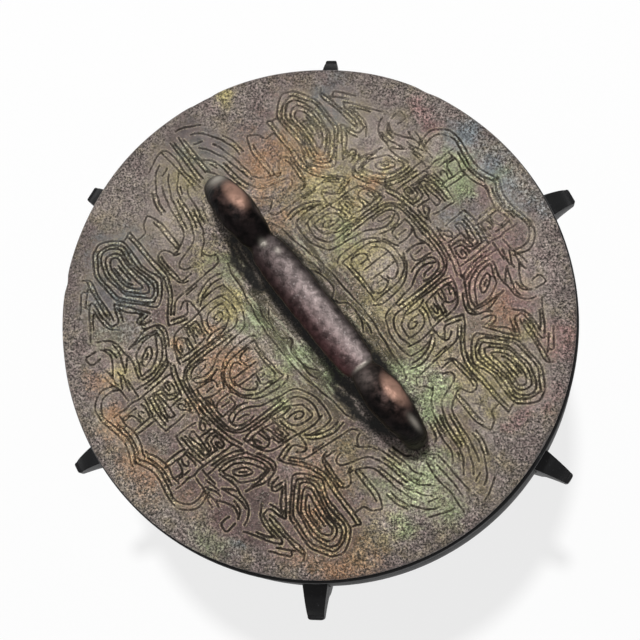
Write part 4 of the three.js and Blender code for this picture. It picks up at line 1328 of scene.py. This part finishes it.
# Each row: share of the half span, share of the bar's height, width and thickness.
SECTIONS = [
    (0, 1, 8.8, 6.4), (0.24, 1, 8.9, 6.4), (0.44, 1, 8.2, 6.2), (0.525, 1, 6.2, 5.6),
    (0.615, 1.11, 7.6, 7.0), (0.755, 1.22, 8.8, 8.4), (0.89, 1.11, 7.9, 8.4), (0.98, 0.78, 6.4, 8.2),
    (1, 0.4, 5.8, 7.4), (1, 0, 5.8, 7.2),
]
# Each row: radius and height from the lid's top.
TENON_PROFILE = [(2.2, 2.6), (2.2, -3.5), (3.3, -3.5), (3.6, -3.8), (3.5, -4.2), (2.8, -4.55), (1.2, -4.65)]
STEPS = 8
SIDES = 48
RING_ANGLES = [k * 2 * math.pi / SIDES for k in range(SIDES)]


def handle_place(u, v, z):
    """A point in the handle's own directions, on the lid and in metres."""
    v = v + HANDLE_OFFSET
    return Vector((u * HANDLE_C - v * HANDLE_S, u * HANDLE_S + v * HANDLE_C, z + TOP_Z)) * MM


def squared(part):
    """A cosine or sine, pushed outwards so that a ring is a little squared."""
    return math.copysign(abs(part) ** (2 / SQUARENESS), part)


def lofted(mesh, rings):
    """Rings of equal count joined into a closed skin."""
    made = [[mesh.verts.new(v) for v in ring] for ring in rings]
    for a, b in zip(made, made[1:]):
        for k in range(SIDES):
            n = (k + 1) % SIDES
            mesh.faces.new((a[k], a[n], b[n], b[k]))
    mesh.faces.new(made[0])
    mesh.faces.new(list(reversed(made[-1])))


half = curve(SECTIONS, lambda b, c: STEPS) * (HANDLE_SPAN / 2, BAR_HEIGHT, 1, 1)
full = np.vstack([(half * (-1, 1, 1, 1))[:0:-1], half])
tangent = np.gradient(full[:, :2], axis=0)
tangent /= np.linalg.norm(tangent, axis=1)[:, None]
rings = []
for (x, z, wide, thick), (tx, tz) in zip(full, tangent):
    ring = []
    for a in RING_ANGLES:
        aside = squared(math.cos(a)) * wide / 2
        out = squared(math.sin(a)) * thick / 2
        ring.append(handle_place(x - out * tz, aside, max(z + out * tx, FOOT_DEPTH)))
    rings.append(ring)
mesh = bmesh.new()
lofted(mesh, rings)
for end in (-HANDLE_SPAN / 2, HANDLE_SPAN / 2):
    lofted(mesh, [
        [handle_place(end + r * math.cos(a), r * math.sin(a), z) for a in RING_ANGLES]
        for r, z in TENON_PROFILE
    ])
draft = added("handle_draft", mesh_from(mesh, "handle_draft"))
print("rings in the handle:", len(rings))

# %% [markdown]
# The bar and its tenons still pass through each other. A Boolean union would join them but keep a hard
# seam. A voxel remesh makes them one skin, smoothing eases its steps, and a slow noise pushes it in and
# out, because the real handle was filed by hand.

# %% Handle mesh
VOXEL = 0.4
DENT_DEPTH = 0.16
joined = draft.modifiers.new("joined", "REMESH")
joined.mode = "VOXEL"
joined.voxel_size = VOXEL * MM
eased = draft.modifiers.new("eased", "SMOOTH")
eased.factor = 0.5
eased.iterations = 4
graph = bpy.context.evaluated_depsgraph_get()
handle_mesh = bpy.data.meshes.new_from_object(draft.evaluated_get(graph))
bpy.data.objects.remove(draft)

hammered = np.array([v.co[:] for v in handle_mesh.vertices]) / MM
outward = np.array([v.normal[:] for v in handle_mesh.vertices])
dents = np.array([noise.noise(Vector(p) * 0.5) + 0.4 * noise.noise(Vector(p) * 1.3) for p in hammered])
hammered += outward * dents[:, None] * DENT_DEPTH
handle_mesh.vertices.foreach_set("co", (hammered * MM).astype(np.float32).ravel())
handle = added("bridge_handle_cast", shaded_smooth(handle_mesh))
print("handle faces:", len(handle_mesh.polygons))

# %% [markdown]
# ## Values stored on the handle
#
# Hands have rubbed the top of the bar and the two heads, down to copper at the highest places. Light is
# painted over this: the bar is lighter across its top towards the side that faces the lamp and darker
# and redder on the far side, and the heads carry painted highlights, grey reflections and pale glints.
# The places could come from the shape's curvature, but the light comes from one side, so they are given
# as ramps and as soft oval spots in the handle's own directions.

# %% Values of the handle
BAR_HALF = 18.6
along, across = from_lid(hammered[:, :2])
upward = np.clip(outward[:, 2], 0, 1)


def ramp(values, low, high):
    """0 at low, 1 at high and a straight ramp between."""
    return np.clip((values - low) / (high - low), 0, 1)


def spots(rows):
    """Soft oval spots on the handle: middle and half size along and across, then strength."""
    total = np.zeros(len(along))
    for u, v, half_u, half_v, strength in rows:
        off = ((along - u) / half_u) ** 2 + ((across - v) / half_v) ** 2
        total = np.maximum(total, strength * np.exp(-off))
    return total * facing_up


facing_up = ramp(upward, 0.1, 0.5)
on_bar = ramp(BAR_HALF - np.abs(along), 0, 1.2)
# Painted light: the bar's top is lighter towards the side that faces the lamp, less at its far end.
lit = ramp(across, -3.6, 2.2) ** 1.2 * (0.3 + 0.7 * ramp(across, 4.4, 3.6))
lit = lit * (0.52 + 0.48 * ramp(along, -13, -6))
store(handle, "rubbed_lit_bar_top", on_bar * lit * ramp(across, 5.6, 5.0) * facing_up)
# Painted shade with a red-brown tone: the bar's side away from the lamp is darker and redder.
store(handle, "reddish_shaded_side", on_bar * ramp(across, 2.6, -2.4) * (0.6 + along / 40))
# Rubbed copper on the heads' crests, and a painted highlight set towards the side that faces the lamp.
store(handle, "copper_and_highlight", ramp(spots([(-29.8, 3.0, 4.6, 2.1, 1.0), (26.8, 3.6, 4.4, 2.2, 1.0)]), 0.25, 0.75))
store(handle, "browned", ramp(spots([(-31.5, 2.6, 6.5, 3.4, 1.0), (26.5, 3.0, 6.5, 3.2, 1.0)]), 0.1, 0.6))
# Painted pale glints on lit facets at the ends and at the necks.
store(handle, "bare", spots([
    (-36.2, 2.2, 1.6, 2.2, 1.0), (-17.6, 1.0, 0.9, 0.7, 0.5), (-14.2, 2.6, 0.7, 0.6, 0.4),
    (18.0, 1.1, 0.45, 1.8, 0.7), (35.0, 2.4, 1.7, 0.6, 0.7),
]))
# Painted grey reflections on faces that would mirror the lit surroundings.
store(handle, "grey_reflection", spots([
    (20.8, 0.4, 2.4, 2.2, 0.7), (32.5, 5.4, 6.0, 0.8, 0.8), (-23.0, 4.8, 5.0, 0.6, 0.5),
]))
print("points on the bar:", int((on_bar > 0.5).sum()))

# %% [markdown]
# ## The handle's finish
#
# The handle is dark red-brown bronze, painted nearly black all over: partly its dark patina, and partly
# the dark surroundings that its flanks would reflect. The stored places, rubbed and painted light alike,
# are laid over it one by one, from wide to small, and a broad noise breaks them. One flat colour with
# bumps would look painted, and so would an even gloss, so a fine grain changes its roughness too.

# %% Handle finish
brown = Finish("handle_bronze")
broad = brown.noise(520, 3)
grain = brown.noise(1900, 3, 0.65, 2.0)
rubbed_and_lit = {name: brown.attribute(name) for name in ("rubbed_lit_bar_top", "reddish_shaded_side", "copper_and_highlight", "browned", "bare", "grey_reflection")}
# A near-black base: dark patina, and painted dark reflections on the flanks.
colour = brown.mix(broad.step(0.35, 0.65), rgb(0.003, 0.0025, 0.0025), rgb(0.007, 0.005, 0.005))
colour = brown.mix(rubbed_and_lit["browned"] * broad.step(0.3, 0.6) * 0.8, colour, rgb(0.045, 0.027, 0.023))
# Painted grey reflections on the heads and the bar's side.
colour = brown.mix(rubbed_and_lit["grey_reflection"], colour, rgb(0.110, 0.088, 0.080))
# Painted light on the bar's rubbed top.
colour = brown.mix(rubbed_and_lit["rubbed_lit_bar_top"] * 0.95, colour, rgb(0.138, 0.112, 0.108))
# Painted shade, redder, on the bar's side away from the lamp.
colour = brown.mix(rubbed_and_lit["reddish_shaded_side"] * 0.75, colour, rgb(0.060, 0.025, 0.026))
colour = brown.mix(1.0, colour, broad.step(0.36, 0.62) * 0.8 + 0.45, "MULTIPLY")
# Rubbed copper with a painted highlight on the heads.
colour = brown.mix(rubbed_and_lit["copper_and_highlight"] * (broad.step(0.3, 0.5) * 0.3 + 0.65), colour, rgb(0.270, 0.160, 0.120))
# Painted pale glints.
colour = brown.mix(rubbed_and_lit["bare"] * 0.9, colour, rgb(0.380, 0.350, 0.300))
# Painted glints in the grain of the bar's lit top.
colour = brown.mix(grain.step(0.58, 0.70) * rubbed_and_lit["rubbed_lit_bar_top"] * 0.4, colour, rgb(0.34, 0.30, 0.29))
brown.set(Base_Color=colour, Metallic=0.5, Roughness=(0.36 + grain * 0.2).clamp(), Specular_IOR_Level=0.05)
brown.bump(grain * 0.4 + broad * 1.0, 0.45, 0.0005)
handle.data.materials.append(brown.material)
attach(handle, "lid")
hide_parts("bridge_handle")
print("handle finished")

# %% [markdown]
# ## The vessel's finish
#
# The bowl, legs and flanges are the same bronze, blackened and smoother, with fine pits. One material
# serves all ten pieces, because its noise reads places in the shared frame and so never repeats.

# %% Vessel finish
black = Finish("vessel_black")
broad = black.noise(120, 3)
pits = black.noise(2200, 3, 0.6, 4.0)
colour = black.mix(broad.step(0.3, 0.7), rgb(0.004, 0.004, 0.0045), rgb(0.009, 0.009, 0.0095))
colour = black.mix(pits.step(0.64, 0.74) * 0.5, colour, rgb(0.06, 0.06, 0.065))
black.set(Base_Color=colour, Metallic=0.5, Roughness=(0.4 + broad * 0.2).clamp(), Specular_IOR_Level=0.2)
black.bump(pits * 0.7 + broad * 0.4, 0.35, 0.0003)


def vessel_piece(piece, *nodes):
    """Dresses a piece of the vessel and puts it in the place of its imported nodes."""
    piece.data.materials.clear()
    piece.data.materials.append(black.material)
    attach(piece, "vessel")
    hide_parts(*nodes)


print("vessel finish ready")

# %% [markdown]
# ## The bowl
#
# The bowl was shaped on a wheel in wax, so it is a turned profile: out over the round belly, in to the
# neck, over the rim, and back down inside to a flat floor. The Screw modifier could turn it too.
# Turning it here closes the poles and leaves a plain mesh.

# %% Bowl
RIM_TOP = 105.0
RIM_R, NECK_R, BELLY_R, MOUTH_R = 60.7, 58.4, 61.2, 55.0
BELLY_Z, NECK_Z, DEPTH, WALL, FLOOR_Z = 85.0, 98.0, 41.0, 3.4, 50.0
OUTER_STEPS, NECK_STEPS, INNER_STEPS = 48, 14, 40
BOWL_SEGMENTS = 192


def bowl_profile():
    """Radius and height from the underside, over the rim, to the floor inside."""
    points = []
    for t in np.linspace(0, math.pi / 2, OUTER_STEPS):
        points.append((BELLY_R * math.sin(t), BELLY_Z - DEPTH * math.cos(t)))
    for t in np.linspace(0, 1, NECK_STEPS)[1:]:
        ease = (1 - math.cos(math.pi * t)) / 2
        points.append((BELLY_R + (NECK_R - BELLY_R) * ease, BELLY_Z + (NECK_Z - BELLY_Z) * t))
    points += [
        (NECK_R + 0.3, 100.2), (RIM_R - 0.8, 101.5), (RIM_R - 0.2, 101.8), (RIM_R, 102.4), (RIM_R, 104.1),
        (RIM_R - 0.2, 104.7), (RIM_R - 0.8, RIM_TOP), (MOUTH_R + 0.5, RIM_TOP), (MOUTH_R, RIM_TOP - 0.5),
        (MOUTH_R, NECK_Z),
    ]
    inner_depth = DEPTH - WALL
    last = math.acos((BELLY_Z - FLOOR_Z) / inner_depth)
    for t in np.linspace(math.pi / 2, last, INNER_STEPS):
        points.append(((BELLY_R - WALL) * math.sin(t), BELLY_Z - inner_depth * math.cos(t)))
    points.append((0, FLOOR_Z))
    return points


def turned(name, profile, segments):
    """A closed turned body from a profile that starts and ends on the axis."""
    mesh = bmesh.new()
    first = mesh.verts.new(Vector((0, 0, profile[0][1])) * MM)
    last = mesh.verts.new(Vector((0, 0, profile[-1][1])) * MM)
    angles = [k * 2 * math.pi / segments for k in range(segments)]
    rings = [
        [mesh.verts.new(Vector((r * math.cos(a), r * math.sin(a), z)) * MM) for a in angles]
        for r, z in profile[1:-1]
    ]
    for k in range(segments):
        n = (k + 1) % segments
        mesh.faces.new((first, rings[0][k], rings[0][n]))
        mesh.faces.new((last, rings[-1][n], rings[-1][k]))
        for a, b in zip(rings, rings[1:]):
            mesh.faces.new((a[k], a[n], b[n], b[k]))
    return added(name, mesh_from(mesh, name))


bowl = turned("bowl_cast", bowl_profile(), BOWL_SEGMENTS)
vessel_piece(bowl, "bowl")
print("bowl faces:", len(bowl.data.polygons))

# %% [markdown]
# ## A softened pattern
#
# Legs and flanges come in threes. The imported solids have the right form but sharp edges, and a casting's
# edges are round. A copy of one of each kind is cleaned of its loose corners, and a Bevel modifier
# rounds what is sharper than 35 degrees.

# %% Softened pattern
BEVEL_WIDTH = 0.6
BEVEL_SEGMENTS = 3
SAME_POINT = 1e-5
FLAT_ENOUGH = math.radians(2)
SHARP = math.radians(35)


def softened(node):
    """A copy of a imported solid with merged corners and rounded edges."""
    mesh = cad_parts[node].data.copy()
    work = bmesh.new()
    work.from_mesh(mesh)
    bmesh.ops.remove_doubles(work, verts=work.verts, dist=SAME_POINT)
    bmesh.ops.dissolve_limit(work, angle_limit=FLAT_ENOUGH, verts=work.verts, edges=work.edges)
    work.to_mesh(mesh)
    work.free()
    piece = added(node + "_cast", shaded_smooth(mesh))
    bevel = piece.modifiers.new("bevel", "BEVEL")
    bevel.width = BEVEL_WIDTH * MM
    bevel.segments = BEVEL_SEGMENTS
    bevel.limit_method = "ANGLE"
    bevel.angle_limit = SHARP
    bevel.harden_normals = True
    return piece


def box_of(piece):
    """The least and the greatest corner of a piece."""
    co = np.array([v.co[:] for v in piece.data.vertices])
    return co.min(0), co.max(0)


print("edges are rounded by", BEVEL_WIDTH, "mm")

# %% [markdown]
# ## Three places round the vessel
#
# Each kind stands at three places, a third of a turn apart. Copies could be turned one by one. A small
# node tree does it with the turn as an input, and what it gives is made a plain mesh for each node.

# %% Node tree
def placed_round():
    """A node tree that turns a pattern about the vessel's upright axis and gives it its material."""
    tree = bpy.data.node_groups.new("placed_round", "GeometryNodeTree")
    tree.is_modifier = True
    tree.interface.new_socket("Geometry", in_out="INPUT", socket_type="NodeSocketGeometry")
    turn = tree.interface.new_socket("Turn", in_out="INPUT", socket_type="NodeSocketFloat")
    finish = tree.interface.new_socket("Material", in_out="INPUT", socket_type="NodeSocketMaterial")
    tree.interface.new_socket("Geometry", in_out="OUTPUT", socket_type="NodeSocketGeometry")
    start = tree.nodes.new("NodeGroupInput")
    angles = tree.nodes.new("ShaderNodeCombineXYZ")
    moved = tree.nodes.new("GeometryNodeTransform")
    real = tree.nodes.new("GeometryNodeRealizeInstances")
    dressed = tree.nodes.new("GeometryNodeSetMaterial")
    end = tree.nodes.new("NodeGroupOutput")
    for source, target in (
        (start.outputs["Geometry"], moved.inputs["Geometry"]),
        (start.outputs["Turn"], angles.inputs["Z"]),
        (angles.outputs["Vector"], moved.inputs["Rotation"]),
        (moved.outputs["Geometry"], real.inputs["Geometry"]),
        (real.outputs["Geometry"], dressed.inputs["Geometry"]),
        (start.outputs["Material"], dressed.inputs["Material"]),
        (dressed.outputs["Geometry"], end.inputs["Geometry"]),
    ):
        tree.links.new(source, target)
    return tree, turn.identifier, finish.identifier


ROUND_TREE, TURN_INPUT, MATERIAL_INPUT = placed_round()
print("node tree inputs:", TURN_INPUT, MATERIAL_INPUT)

# %% [markdown]
# The tree's inputs are set by their identifiers, before the pattern is evaluated. Each result is laid
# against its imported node, so that a wrong turn would show at once as a gap of centimetres.

# %% Flanges and legs
PLACES = 3
for kind in ("leg", "leg_flange", "side_flange"):
    pattern = softened(f"{kind}_1")
    placing = pattern.modifiers.new("placed", "NODES")
    placing.node_group = ROUND_TREE
    placing[MATERIAL_INPUT] = black.material
    for place in range(PLACES):
        node = f"{kind}_{place + 1}"
        placing[TURN_INPUT] = place * 2 * math.pi / PLACES
        pattern.update_tag()
        graph = bpy.context.evaluated_depsgraph_get()
        piece = added(f"{node}_cast", bpy.data.meshes.new_from_object(pattern.evaluated_get(graph)))
        vessel_piece(piece, node)
        off = max((Vector(a) - Vector(b)).length for a, b in zip(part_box(node), box_of(piece)))
        print(piece.name, "is within", round(off / MM, 2), "mm of its packed node")
    bpy.data.objects.remove(pattern)
